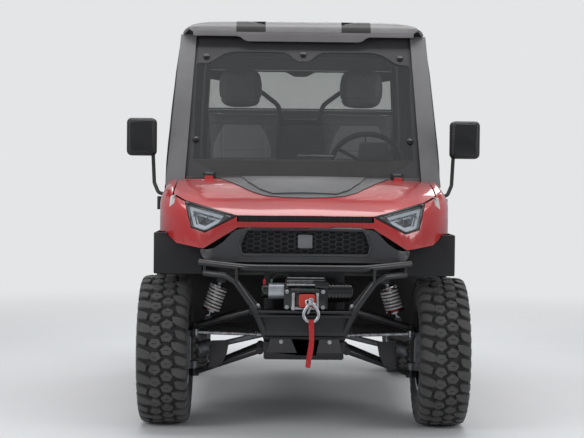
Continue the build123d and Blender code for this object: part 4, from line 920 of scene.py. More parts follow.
def flatPatch(outline, holes=(), step=0.012, cuts=()):
    # a flat mesh of the outline less its holes, cut into a grid, as a bmesh with points (a, b, 0)
    # cuts are further lines, (axis, value) each
    work = bmesh.new()
    edges = []
    for loop in (outline, *holes):
        verts = [work.verts.new((a, b, 0)) for a, b in loop]
        edges += [work.edges.new((verts[i], verts[(i + 1) % len(verts)])) for i in range(len(verts))]
    bmesh.ops.triangle_fill(work, use_beauty=True, use_dissolve=False, edges=edges, normal=(0, 0, 1))
    for axis in (0, 1):
        values = [v.co[axis] for v in work.verts]
        low, high = min(values), max(values)
        count = int((high - low) / step)
        lines = [low + (high - low) * i / (count + 1) for i in range(1, count + 1)]
        lines += [value for along, value in cuts if along == axis]
        for line in sorted(lines):
            at = Vector((0, 0, 0))
            at[axis] = line
            normal = Vector((0, 0, 0))
            normal[axis] = 1.0
            bmesh.ops.bisect_plane(work, geom=work.verts[:] + work.edges[:] + work.faces[:],
                                   plane_co=at, plane_no=normal, dist=0.00005)
    return work


def skinPatch(name, outline, skin, way, lift, thick, holes=(), step=0.012, bevel=0.0, segments=2, cuts=()):
    # the outline laid on the skin, its face lifted off it and a wall of that thickness behind
    work = flatPatch(outline, holes, step, cuts)
    missed = []
    for vert in work.verts:
        place, normal = onSkin(skin, vert.co.x, vert.co.y, way)
        if place is None:
            missed.append(vert)
        else:
            vert.co = place + normal * lift
    for vert in missed:
        # a point past the skin's edge takes the depth of the nearest point that is on it
        a, b = vert.co.x, vert.co.y
        place, normal, index, distance = skin.find_nearest(
            Vector((a, cadBox[0][1] + 0.15, b)) if way == "ahead" else Vector((a, b, cadBox[1][2])))
        vert.co = Vector((a, place.y, b)) if way == "ahead" else Vector((a, b, place.z))
    mesh = bpy.data.meshes.new(name)
    work.to_mesh(mesh)
    work.free()
    piece = newObject(name, mesh)
    toward = Vector({"ahead": (0, -1, 0), "side": (1, 0, 0), "down": (0, 0, 1)}[way])
    if sum((Vector(face.normal).dot(toward) * face.area) for face in mesh.polygons) < 0:
        mesh.flip_normals()
    wall = piece.modifiers.new("wall", "SOLIDIFY")
    wall.thickness = thick
    wall.offset = -1.0
    wall.use_even_offset = False
    applyModifiers(piece)
    tidyMesh(piece)
    return bevelPiece(piece, bevel, segments, 50) if bevel else piece


def bothHands(outline):
    return outline + [(-a, b) for a, b in reversed(outline)]


def inset(outline, distance):
    # moves every side of a closed outline inwards
    count = len(outline)
    area = sum(outline[i][0] * outline[(i + 1) % count][1] - outline[(i + 1) % count][0] * outline[i][1]
               for i in range(count))
    side = 1 if area > 0 else -1
    result = []
    for i in range(count):
        before, corner, after = (Vector(outline[(i + k) % count]) for k in (-1, 0, 1))
        first, second = (corner - before).normalized(), (after - corner).normalized()
        inFirst, inSecond = Vector((-first.y, first.x)) * side, Vector((-second.y, second.x)) * side
        middle = (inFirst + inSecond).normalized()
        result.append(tuple(corner + middle * distance / max(0.35, middle.dot(inFirst))))
    return result


lampCorners = [(0.300, 0.970), (0.541, 1.031), (0.506, 0.915), (0.443, 0.896)]


def lampDepth(a, b):
    # the lamp's face is one twisted plane, the same on both sides
    across = abs(a)
    return -1.75039 - 0.56054 * across + 0.31458 * b + 0.98247 * across * b


def mirrorPiece(piece, name=None):
    # a copy on the other side of the middle plane, with its faces turned the right way
    mesh = piece.data.copy()
    for vert in mesh.vertices:
        vert.co.x = -vert.co.x
    mesh.flip_normals()
    return newObject(name or piece.name + "_other", mesh)


def pairOf(piece, name):
    return joinPieces(name, [piece, mirrorPiece(piece)])


def lampLayer(name, outline, lift, thick, finishName, holes=(), bevel=0.0, cutAt=None, hides=()):
    # a layer of the lamp that follows its face, on both sides; cutAt takes off its inner lower end
    layer = skinPatch(name, outline, lampDepth, "ahead", lift, thick, holes=holes, step=0.03, bevel=bevel)
    if cutAt:
        work = bmesh.new()
        work.from_mesh(layer.data)
        bmesh.ops.bisect_plane(work, geom=work.verts[:] + work.edges[:] + work.faces[:], dist=0.0001,
                               plane_co=(cutAt[0], 0, cutAt[1]), plane_no=(-0.80, 0, -0.60), clear_outer=True)
        bmesh.ops.holes_fill(work, edges=[e for e in work.edges if e.is_boundary], sides=0)
        work.to_mesh(layer.data)
        work.free()
    return finishPiece(pairOf(layer, name), "chassis", finishName, hides=hides)


def lampOutline(distance):
    return roundCorners(inset(lampCorners, distance), max(0.003, 0.012 - distance * 0.3), 4)


def makeHeadlights():
    lampLayer("headlight_bezels", lampOutline(0.0), 0.0045, 0.034, "gloss",
              [lampOutline(0.0085)], 0.0015)
    lampLayer("headlight_lenses", lampOutline(0.0080), -0.0005, 0.0025, "lens",
              hides=("headlights",))
    lampLayer("headlight_bowls", lampOutline(0.004), -0.040, 0.004, "gloss")
    lampLayer("headlight_guides", lampOutline(0.0125), -0.007, 0.010, "guide",
              [lampOutline(0.0250)], 0.0016,
              (0.392, 0.928))
    lampLayer("headlight_trims", lampOutline(0.0300), -0.016, 0.008, "guide",
              [lampOutline(0.0345)], 0.0008, (0.395, 0.930))
    cups, eyes = [], []
    for across, height, radius in ((0.478, 0.962, 0.023), (0.420, 0.952, 0.019)):
        centre = Vector((across, lampDepth(across, height) + 0.030, height))
        cups.append(lathePiece("cup", [(-0.012, radius), (-0.012, radius * 0.88), (0.006, radius * 0.60),
                                       (0.010, radius * 0.5), (0.010, radius)], centre, "Y", 32, closed=True))
        eyes.append(lathePiece("eye", [(-0.010, 0.0008), (-0.0085, radius * 0.35), (-0.004, radius * 0.58),
                                       (0.004, radius * 0.66), (0.008, radius * 0.66)], centre, "Y", 32))
    finishPiece(pairOf(joinPieces("cups", cups), "headlight_cups"), "chassis", "reflector")
    finishPiece(pairOf(joinPieces("eyes", eyes), "headlight_projectors"), "chassis", "lens")


makeHeadlights()
print("headlights are made")

surround = {
    "outline": [(0.262, 0.9165), (0.296, 0.9140), (0.322, 0.8960), (0.362, 0.8560), (0.398, 0.8310),
                (0.430, 0.8220), (0.463, 0.8240), (0.460, 0.8020), (0.444, 0.7800), (0.410, 0.7700)],
    "opening": [(0.256, 0.9085), (0.283, 0.8420), (0.276, 0.8080)],
}


def makeSurround():
    outer = roundCorners(bothHands(surround["outline"]), 0.010, 3)
    opening = roundCorners(bothHands(surround["opening"]), 0.014, 4)
    skin = skinOf("bumper_cover", "front_fenders")
    face = skinPatch("nose_surround", outer, skin, "ahead", 0.001, 0.020, holes=[opening], step=0.02,
                     bevel=0.0045, segments=3)
    finishPiece(face, "chassis", "surround", hides=("bumper_cover",))
    # raised rim round the opening
    rim = skinPatch("grille_rim", inset(opening, -0.010), skin, "ahead", 0.0045, 0.012,
                    holes=[inset(opening, -0.001)], step=0.02, bevel=0.003, segments=3)
    finishPiece(rim, "chassis", "surround")


def hexRing(name, radius, wall, depth, squash):
    # one cell of the mesh: a flattened hexagonal ring
    points = []
    for r in (radius, radius - wall):
        for back in (0.0, depth):
            for i in range(6):
                turn = math.pi / 3 * i
                points.append((r * math.cos(turn), back, r * math.sin(turn) * squash))
    faces = []
    for i in range(6):
        j = (i + 1) % 6
        faces += [(i, j, 12 + j, 12 + i), (6 + j, 6 + i, 18 + i, 18 + j), (j, i, 6 + i, 6 + j),
                  (12 + i, 12 + j, 18 + j, 18 + i)]
    return tidyMesh(meshPiece(name, points, faces))


def insideOutline(a, b, outline):
    inside = False
    count = len(outline)
    for i in range(count):
        (ax, ay), (bx, by) = outline[i], outline[(i + 1) % count]
        if (ay > b) != (by > b) and a < (bx - ax) * (b - ay) / (by - ay) + ax:
            inside = not inside
    return inside


grilleMesh = {"cell": 0.0205, "wall": 0.0045, "depth": 0.010, "squash": 0.62, "badge": (0.032, 0.030)}


def makeGrille():
    low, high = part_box("grille")
    faceY = low.y + 0.012
    cell, squash = grilleMesh["cell"], grilleMesh["squash"]
    ring = hexRing("mesh_cell", cell, grilleMesh["wall"], grilleMesh["depth"], squash)
    opening = bothHands(surround["opening"])
    places = []
    across, up = cell * 1.5 * 0.985, cell * math.sqrt(3) * squash * 0.985
    for column in range(-11, 12):
        for row in range(-6, 7):
            a = column * across
            b = 0.8605 + row * up + (up / 2 if column % 2 else 0)
            if insideOutline(a, b, inset(opening, 0.001)):
                places.append(((a, faceY, b), (0, 0, 1)))
    mesh = spotPiece("grille_mesh", ring, places, "mesh")
    bpy.data.objects.remove(ring)
    finishPiece(mesh, "chassis", "mesh")
    back = platePiece("grille_back", bothHands([(0.262, 0.914), (0.288, 0.842), (0.280, 0.802)]), "XZ",
                      faceY + 0.016, 0.006)
    finishPiece(back, "chassis", "black", hides=("grille",))
    half, tall = grilleMesh["badge"]
    badge = platePiece("blank_badge", roundBox(-half, 0.861 - tall, half, 0.861 + tall, 0.006),
                       "XZ", faceY - 0.009, 0.012, 0.002)
    finishPiece(badge, "chassis", "plate")
    # slot above the red lip, with fins across it
    slotBack = boxPiece("slot_back", (-0.296, low.y + 0.034, 0.930), (0.296, low.y + 0.040, 0.974))
    fin = boxPiece("fin", (-0.0022, -0.012, -0.0135), (0.0022, 0.012, 0.0135), 0.0006, 1)
    fins = spotPiece("slot_fins", fin,
                     [((-0.26 + 0.52 * i / 12, low.y + 0.020, 0.9595), (0, 0, 1)) for i in range(13)],
                     "gloss")
    bpy.data.objects.remove(fin)
    finishJoined("air_slot", [slotBack, fins], "chassis", "mesh")
    # a black sheet behind the nose, painted shade, so that no daylight shows through the seams
    shadeSheet = platePiece("nose_liner", bothHands([(0.300, 0.985), (0.300, 0.800)]), "XZ", low.y + 0.075, 0.004)
    finishPiece(shadeSheet, "chassis", "black")


makeSurround()
makeGrille()
print("surround and grille are made")

# hood: red shell, grey panel let into it, hinges

hoodPanel = {
    "outline": [(0.0, -1.176), (0.100, -1.166), (0.180, -1.142), (0.240, -1.082), (0.292, -0.985),
                (0.345, -0.860), (0.408, -0.690)],
    "facet": [(0.146, -1.128), (0.205, -1.060), (0.262, -0.905), (0.300, -0.690)],
}


def makeHood():
    shell = softenNode("hood", "red", 0.0035, 3, 40, "hood_shell")
    shell.data.materials.append(finish["black"])
    for face in shell.data.polygons:
        if abs(abs(face.center.x) - 0.455) < 0.034 and face.center.z > 1.1225 and face.center.y > -0.700:
            face.material_index = 1
    skin = skinOf("hood")
    outline = hoodPanel["outline"][:1] + bothHands(hoodPanel["outline"][1:])
    panel = skinPatch("hood_panel", outline, skin, "down", 0.0035, 0.010, step=0.03, bevel=0.003, segments=3)
    finishPiece(panel, "hood", "insert")
    raised = [(0.0, -1.118)] + bothHands(hoodPanel["facet"])
    step = skinPatch("hood_panel_step", raised, skin, "down", 0.0095, 0.010, step=0.03, bevel=0.0045,
                     segments=3)
    finishPiece(step, "hood", "insert")


makeHood()
print("hood is made")

# small parts that several pieces share

def aimPiece(piece, place, direction):
    # turns a piece made along Z to the direction and carries it to its place
    turn = Vector(direction).to_track_quat("Z", "X").to_matrix().to_4x4()
    piece.data.transform(Matrix.Translation(Vector(place)) @ turn)
    return piece


def hexBolt(radius, tall):
    head = lathePiece("head", [(0.0, radius), (tall * 0.8, radius), (tall, radius * 0.82)], (0, 0, 0), "Z", 6)
    washer = lathePiece("washer", [(-0.0005, radius * 1.45), (tall * 0.22, radius * 1.45)], (0, 0, 0), "Z",
                        20)
    return joinPieces("bolt", [head, washer])


def boltsOn(name, places, radius, tall, body, material="steel"):
    bolt = hexBolt(radius, tall)
    piece = spotPiece(name, bolt, places, material)
    bpy.data.objects.remove(bolt)
    return finishPiece(piece, body, material, 30)


def smoothAt(points, at):
    # a smooth line through (place, value) points in order of place
    if at <= points[0][0]:
        return points[0][1]
    if at >= points[-1][0]:
        return points[-1][1]
    i = max(k for k in range(len(points) - 1) if points[k][0] <= at)
    (x0, y0), (x1, y1) = points[i], points[i + 1]
    before, after = points[max(i - 1, 0)], points[min(i + 2, len(points) - 1)]
    slope0 = (y1 - before[1]) / (x1 - before[0])
    slope1 = (after[1] - y0) / (after[0] - x0)
    t, wide = (at - x0) / (x1 - x0), x1 - x0
    return ((2 * t ** 3 - 3 * t ** 2 + 1) * y0 + (t ** 3 - 2 * t ** 2 + t) * wide * slope0
            + (3 * t ** 2 - 2 * t ** 3) * y1 + (t ** 3 - t ** 2) * wide * slope1)


def smoothStep(low, high, value):
    t = min(1.0, max(0.0, (value - low) / (high - low)))
    return t * t * (3 - 2 * t)


# roof

roof = {
    "half": 0.616, "front": -0.268, "rear": 0.745, "blend": 0.007, "wall": 0.012,
    "across": [(0.0, 1.975), (0.300, 1.962), (0.480, 1.945), (0.562, 1.922), (0.600, 1.892), (0.616, 1.874)],
    "along": [(-0.268, 1.880), (-0.264, 1.902), (-0.238, 1.924), (-0.170, 1.943), (0.0, 1.959),
              (0.300, 1.972),
              (0.560, 1.975), (0.700, 1.960), (0.745, 1.920)],
    "recessIn": 0.196, "recessOut": 0.350, "recessEnd": -0.060, "recessTop": 1.966, "recessDeep": 0.046,
    "recessEdge": 0.0005, "corner": 0.055,
    "ribPitch": 0.125, "ribTall": 0.006, "ribReach": 0.45,
}


def roofHeight(a, b):
    across, lengthwise = smoothAt(roof["across"], abs(a)), smoothAt(roof["along"], b)
    height = (min(across, lengthwise) - roof["blend"]
              * math.log(1 + math.exp(-abs(across - lengthwise) / roof["blend"])))
    if b < roof["recessEnd"] and roof["recessIn"] < abs(a) < roof["recessOut"]:
        wedge = 1 - (abs(a) - roof["recessIn"]) / (roof["recessOut"] - roof["recessIn"])
        return min(height, roof["recessTop"] - roof["recessDeep"] * wedge)
    ribbed = smoothStep(0.0, 0.06, b) * smoothStep(0.68, 0.62, b) if abs(a) < roof["ribReach"] else 0.0
    wave = max(0.0, math.cos(2 * math.pi * a / roof["ribPitch"]))
    return height + roof["ribTall"] * ribbed * smoothStep(0.15, 0.6, wave)


def makeRoof():
    half = roof["half"]
    plan = roundBox(-half, roof["front"], half, roof["rear"], roof["corner"], 6)
    # the grid is cut along the recesses' edges and where the roof turns down
    edge = roof["recessEdge"]
    cuts = [(0, side * at) for side in (-1, 1)
            for at in (roof["recessIn"] - edge, roof["recessIn"] + edge, roof["recessOut"] - edge, 0.562,
                       0.600)]
    cuts += [(1, at) for at in (roof["recessEnd"] - edge, roof["recessEnd"] + edge, -0.262, -0.245, 0.73)]
    shell = skinPatch("roof_shell", plan, roofHeight, "down", 0.0, roof["wall"], step=0.0125, cuts=cuts)
    shell.data.materials.append(finish["roof"])
    shell.data.materials.append(finish["black"])
    # faces high in the front recesses take the black plastic: painted shade in the scoops
    for face in shell.data.polygons:
        across, lengthwise = abs(face.center.x), face.center.y
        inRecess = (roof["recessIn"] - 0.002 < across < roof["recessOut"] - 0.012
                    and lengthwise < roof["recessEnd"] + 0.002)
        if inRecess and face.center.z > 1.890:
            face.material_index = 1
    finishPiece(shell, "chassis", None, 28, hides=("roof",))
    # visor lip that hangs down in front, a little higher at its middle
    low = [(x / 100, 1.858 - 0.026 * (1 - smoothStep(0.285, 0.335, abs(x / 100)))) for x in range(-56, 57, 2)]
    lip = platePiece("visor_lip", low + [(0.563, 1.884), (-0.563, 1.884)], "XZ", -0.2672, 0.014, 0.003)
    finishPiece(lip, "chassis", "roof", 40)
    rail = platePiece("visor_seal", [(-0.545, 1.858), (0.545, 1.858), (0.545, 1.876), (-0.545, 1.876)], "XZ",
                      -0.250, 0.030, 0.002)
    finishPiece(rail, "chassis", "black", 40)


makeRoof()
print("roof is made")

# windshield and its fittings

shield = {
    "foot": (-0.615, 1.1, 0.5339), "outer": [(0.5760, 1.1270), (0.5450, 1.8665)],
    "top": [(0.022, 1.730), (0.045, 1.744), (0.070, 1.764), (0.096, 1.777), (0.140, 1.780), (0.350, 1.780),
            (0.400, 1.768), (0.440, 1.743), (0.468, 1.724), (0.495, 1.716), (0.536, 1.716)],
    "knobs": [(0.492, 1.751), (0.0, 1.766), (0.530, 1.325)],
}


def paneDepth(a, b):
    return shield["foot"][0] + (b - shield["foot"][1]) * shield["foot"][2]


def makeWindshield():
    outer = bothHands(shield["outer"])
    opening = roundCorners(bothHands(shield["top"] + [(0.540, 1.700), (0.540, 1.223)]), 0.008, 2)
    frit = skinPatch("windshield_frit", outer, paneDepth, "ahead", 0.0009, 0.0006, [opening], 0.05)
    finishPiece(frit, "chassis", "frit")
    # a black trapezoid on the pane's foot, painted shade darker than the frit
    shade = skinPatch("windshield_lower_shade", bothHands([(0.538, 1.2215), (0.399, 1.150)]), paneDepth,
                      "ahead",
                      0.0014, 0.0004, (), 0.05)
    finishPiece(shade, "chassis", "black")
    seal = skinPatch("windshield_seal", outer, paneDepth, "ahead", 0.004, 0.004, [inset(outer, 0.009)], 0.05,
                     0.001)
    finishPiece(seal, "chassis", "black")
    knob = lathePiece("knob", [(-0.001, 0.0165), (0.003, 0.0165), (0.0055, 0.0150), (0.0060, 0.0105),
                               (0.0085, 0.0095),
                               (0.0100, 0.0060)], (0, 0, 0), "Z", 28)
    outward = (0.0, -1.0, shield["foot"][2])
    spots = [((side * a, paneDepth(a, b) - 0.0015, b), outward) for a, b in shield["knobs"]
             for side in (-1, 1)
             if side > 0 or a > 0]
    finishPiece(spotPiece("windshield_knobs", knob, spots, "gloss"), "chassis", "gloss")
    bpy.data.objects.remove(knob)
    # hinge clips at the pane's foot
    clips, bolts = [], []
    for side in (-1, 1):
        middle, height = side * 0.458, 1.150
        clips.append(boxPiece("clip", (middle - 0.028, paneDepth(0, height) - 0.020, height - 0.017),
                              (middle + 0.028, paneDepth(0, height) - 0.002, height + 0.017), 0.004))
        bolts += [((middle + off, paneDepth(0, height) - 0.0195, height + 0.003), (0, -1, 0))
                  for off in (-0.014, 0.014)]
    finishJoined("windshield_clips", clips, "chassis", "black")
    boltsOn("windshield_clip_bolts", bolts, 0.0055, 0.005, "chassis", "gloss")
    # the pane's foot rests behind a wide black scuttle strip
    strip = skinPatch("scuttle_strip", bothHands([(0.574, 1.1400), (0.578, 1.112)]), paneDepth, "ahead",
                      0.007, 0.006,
                      (), 0.06, 0.002)
    finishPiece(strip, "chassis", "black")
    softenNode("pillar_covers", "pillar", 0.011, 4, 30)
    plugs = lathePiece("plug", [(-0.001, 0.008), (0.0015, 0.008), (0.0025, 0.006)], (0, 0, 0), "Z", 20)
    spots = [((side * 0.608, paneDepth(0, z) - 0.0005, z), outward) for side in (-1, 1)
             for z in (1.156, 1.74)]
    finishPiece(spotPiece("pillar_plugs", plugs, spots, "black"), "chassis", "black")
    bpy.data.objects.remove(plugs)
    # the rear window's printed border, dipping at its middle like the glass's seal
    low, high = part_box("rear_window")
    edge = [(low.x + 0.002, low.z + 0.002), (high.x - 0.002, low.z + 0.002), (high.x - 0.002, high.z - 0.002),
            (low.x + 0.002, high.z - 0.002)]
    half = [(0.034, 1.716), (0.085, 1.752), (0.240, 1.752), (0.457, 1.689), (0.514, 1.698)]
    hole = bothHands([(min(a, high.x - 0.014), min(b, high.z - 0.010)) for a, b in half]
                     + [(min(0.540, high.x - 0.012), max(1.519, low.z + 0.010))])
    for name, level in (("rear_window_border_inside", low.y - 0.0010),
                        ("rear_window_border_outside", high.y + 0.0004)):
        work = flatPatch(edge, [hole], 0.2)
        mesh = bpy.data.meshes.new(name)
        work.to_mesh(mesh)
        work.free()
        for vert in mesh.vertices:
            vert.co = Vector((vert.co.x, level, vert.co.y))
        border = newObject(name, mesh)
        wall = border.modifiers.new("wall", "SOLIDIFY")
        wall.thickness = 0.0006
        finishPiece(tidyMesh(applyModifiers(border)), "chassis", "frit")


makeWindshield()
print("windshield is made")

# seats: foam pads under a stretched cover

seat = {"voxel": 0.0075, "shrink": 0.006, "pressure": 4.0, "cap": 0.016, "restCap": 0.007, "frames": 20,
        "groove": 0.0045,
        "grooveHalf": 0.007}


def softPad(node, name, seams, cap, pale=None):
    # the CAD pad, remeshed and blown up a little as cloth; seams are (axis, value, low point, high point)
    mesh = frame["nodes"][node].data.copy()
    piece = tidyMesh(newObject(name, mesh), 0.00001)
    normals = [vert.normal.copy() for vert in piece.data.vertices]
    for vert, normal in zip(piece.data.vertices, normals):
        vert.co = vert.co - normal * seat["shrink"]
    remesh = piece.modifiers.new("voxels", "REMESH")
    remesh.mode = "VOXEL"
    remesh.voxel_size = seat["voxel"]
    applyModifiers(piece)
    rest = [vert.co.copy() for vert in piece.data.vertices]
    cloth = piece.modifiers.new("cover", "CLOTH")
    cloth.settings.quality = 3
    cloth.settings.mass = 0.4
    cloth.settings.use_pressure = True
    cloth.settings.uniform_pressure_force = seat["pressure"]
    cloth.settings.effector_weights.gravity = 0.0
    cloth.collision_settings.use_self_collision = False
    cloth.point_cache.frame_end = seat["frames"]
    for number in range(1, seat["frames"] + 1):
        bpy.context.scene.frame_set(number)
    applyModifiers(piece)
    bpy.context.scene.frame_set(1)
    for vert, was in zip(piece.data.vertices, rest):
        move = vert.co - was
        if move.length > cap:
            vert.co = was + move.normalized() * cap
    fine = piece.modifiers.new("finer", "SUBSURF")
    fine.levels = fine.render_levels = 1
    applyModifiers(piece)
    normals = [vert.normal.copy() for vert in piece.data.vertices]
    for vert, normal in zip(piece.data.vertices, normals):
        place = Vector((abs(vert.co.x), vert.co.y, vert.co.z))
        deep = 0.0
        for axis, value, low, high in seams:
            inside = all(low[k] <= place[k] <= high[k] for k in range(3) if k != axis)
            away = abs(place[axis] - value)
            if inside and away < seat["grooveHalf"]:
                deep = max(deep, seat["groove"] * (1 - (away / seat["grooveHalf"]) ** 2))
        # slight puckers that a stretched cover has
        pucker = noise.noise(vert.co * 26.0) * 0.0009
        vert.co = vert.co + normal * (pucker - deep)
    piece.data.materials.clear()
    piece.data.materials.append(finish["vinyl"])
    piece.data.materials.append(finish["insertVinyl"])
    if pale:
        facing = [face.normal.y < -0.2 for face in piece.data.polygons]
        middles = [face.center.copy() for face in piece.data.polygons]
        chosen = []
        for front, middle in zip(facing, middles):
            near = abs(abs(middle.x) - pale["middle"]) < smoothAt(pale["half"], middle.z)
            chosen.append(1 if front and near and pale["low"] < middle.z < pale["high"] else 0)
        piece.data.polygons.foreach_set("material_index", chosen)
    finishPiece(piece, bodyOf[node], None, 60, hides=(node,))
    return piece


def makeSeats():
    softPad("seat_cushions", "seat_cushion_pads",
            [(0, 0.200, (0, -0.10, 0.80), (1, 0.24, 0.95)), (0, 0.430, (0, -0.10, 0.80), (1, 0.24, 0.95)),
             (1, 0.060, (0.20, 0, 0.80), (0.43, 0, 0.95)), (1, -0.095, (0.13, 0, 0.80), (0.50, 0, 0.95))],
            seat["cap"])
    softPad("seat_backs", "seat_back_pads",
            [(0, 0.200, (0, 0.2, 0.80), (1, 0.45, 1.430)), (0, 0.430, (0, 0.2, 0.80), (1, 0.45, 1.430)),
             (2, 1.284, (0.20, 0.2, 0), (0.43, 0.45, 2)), (2, 1.430, (0.13, 0.2, 0), (0.50, 0.45, 2)),
             (2, 1.020, (0.20, 0.2, 0), (0.43, 0.45, 2))], seat["cap"],
            {"middle": 0.3215, "low": 1.247, "high": 1.428,
             "half": [(1.247, 0.158), (1.297, 0.158), (1.371, 0.134), (1.426, 0.101)]})
    softPad("headrests", "headrest_pads", [(2, 1.575, (0.22, 0.3, 0), (0.45, 0.5, 2))], seat["restCap"])
    softenNode("seat_base", "black", 0.006)
    softenNode("roll_cage", "coat", 0, angle=40)
    clamps = []
    for side in (-1, 1):
        for at in ((0.100, 0.500, 1.450), (0.505, 0.500, 1.450)):
            clamps.append(lathePiece("clamp",
                                     [(-0.014, 0.0225), (-0.012, 0.0240), (0.012, 0.0240), (0.014, 0.0225)],
                                     (side * at[0], at[1], at[2]), "X", 28))
    finishJoined("cage_clamps", clamps, "chassis", "coat")


makeSeats()
print("seats are made")

# dashboard, steering column and wheel

dash = {"cluster": (0.281, 0.440, 1.232, 1.323), "wheel": (0.335, -0.130, 1.220), "tilt": 35.0, "rim": 0.180}


def makeDash():
    softenNode("dashboard", "dash", 0.008, 3)
    left, right, low, high = dash["cluster"]
    outline = [(left, low), (right, low), (right - 0.010, high), (left + 0.010, high)]
    pod = platePiece("instrument_pod", roundCorners(outline, 0.014, 4), "XZ", -0.385, 0.105, 0.006, 3)
    finishPiece(pod, "chassis", "dash")
    outline = [(left + 0.010, low + 0.010), (right - 0.010, low + 0.010), (right - 0.018, high - 0.010),
               (left + 0.018, high - 0.010)]
    face = platePiece("instrument_face", roundCorners(outline, 0.010, 4), "XZ", -0.2815, 0.0030, 0.001)
    finishPiece(face, "chassis", "gloss")
    strip = platePiece("dash_switch_strip", roundBox(-0.025, 1.243, 0.157, 1.257, 0.003), "XZ", -0.330,
                       0.006, 0.001)
    finishPiece(strip, "chassis", "reflector")
    switches = [boxPiece("switch", (x - 0.012, -0.272, 1.150), (x + 0.012, -0.255, 1.190), 0.003)
                for x in (-0.03, 0.005, 0.04, 0.075, 0.11)]
    finishJoined("rocker_switches", switches, "chassis", "gloss")
    vents = []
    for x in (-0.46, -0.10, 0.15, 0.50):
        vents.append(boxPiece("vent", (x - 0.045, -0.285, 1.165), (x + 0.045, -0.262, 1.205), 0.004))
        vents += [boxPiece("slat", (x - 0.040, -0.264, z - 0.0015), (x + 0.040, -0.256, z + 0.0015), 0.0005,
                           1)
                  for z in (1.174, 1.185, 1.196)]
    finishJoined("dash_vents", vents, "chassis", "black")
    softenNode("steering_column", "black", 0.002)
    softenNode("steering_wheel", "grip", 0, angle=60, name="steering_wheel_rim")
    centre = Vector(dash["wheel"])
    tilt = Matrix.Rotation(math.radians(-dash["tilt"]), 3, "X")
    outward = tilt @ Vector((0, 1, 0))
    cap = lathePiece("cap", [(0.0, 0.044), (0.012, 0.043), (0.017, 0.036), (0.019, 0.020)], (0, 0, 0), "Z",
                     40)
    aimPiece(cap, centre + outward * 0.004, outward)
    finishPiece(cap, "steering_wheel", "gloss")
    faces = []
    for turn in (90, 210, 330):
        along = tilt @ Vector((math.cos(math.radians(turn)), 0, math.sin(math.radians(turn))))
        bar = boxPiece("bar", (-0.016, -0.003, 0.040), (0.016, 0.003, dash["rim"] - 0.018), 0.002)
        faces.append(aimPiece(bar, centre + outward * 0.006, along))
    finishJoined("steering_wheel_spokes", faces, "steering_wheel", "coat")


makeDash()
print("dashboard is made")

# winch, hook and strap

winch = {
    "y": -1.360, "z": 0.644, "face": -1.414,
    "can": [(-0.160, 0.033), (-0.157, 0.0355), (-0.090, 0.0355), (-0.086, 0.033), (-0.086, 0.028),
            (-0.078, 0.028)],
    "ends": [("cap", [(-0.190, 0.022), (-0.186, 0.029), (-0.180, 0.031), (-0.160, 0.031)]),
             ("flange", [(-0.080, 0.034), (-0.076, 0.038), (-0.068, 0.038), (-0.066, 0.030)]),
             ("flange", [(0.064, 0.030), (0.066, 0.038), (0.078, 0.038), (0.080, 0.034)])],
    "fins": 7, "finStart": 0.104, "finPitch": 0.0145, "gearDrop": 0.004,
    "turns": 21, "turnStart": -0.0615, "turnPitch": 0.006,
    "turn": [(-0.0028, 0.0272), (-0.0015, 0.0296), (0, 0.0302), (0.0015, 0.0296), (0.0028, 0.0272)],
    "feet": (-0.084, 0.092), "uprights": (-0.0505, 0.0525),
    "boots": [("redCap", -0.178, 0.0065), ("greenCap", -0.147, 0.0055)],
    # each cable from its boot: (x, behind the drum's line, z)
    "cables": [[(-0.178, -0.006, 0.690), (-0.170, 0.03, 0.716), (-0.120, 0.05, 0.722),
                (-0.060, 0.045, 0.704)],
               [(-0.147, -0.006, 0.690), (-0.135, 0.02, 0.712), (-0.095, 0.04, 0.714),
                (-0.050, 0.040, 0.700)]],
}


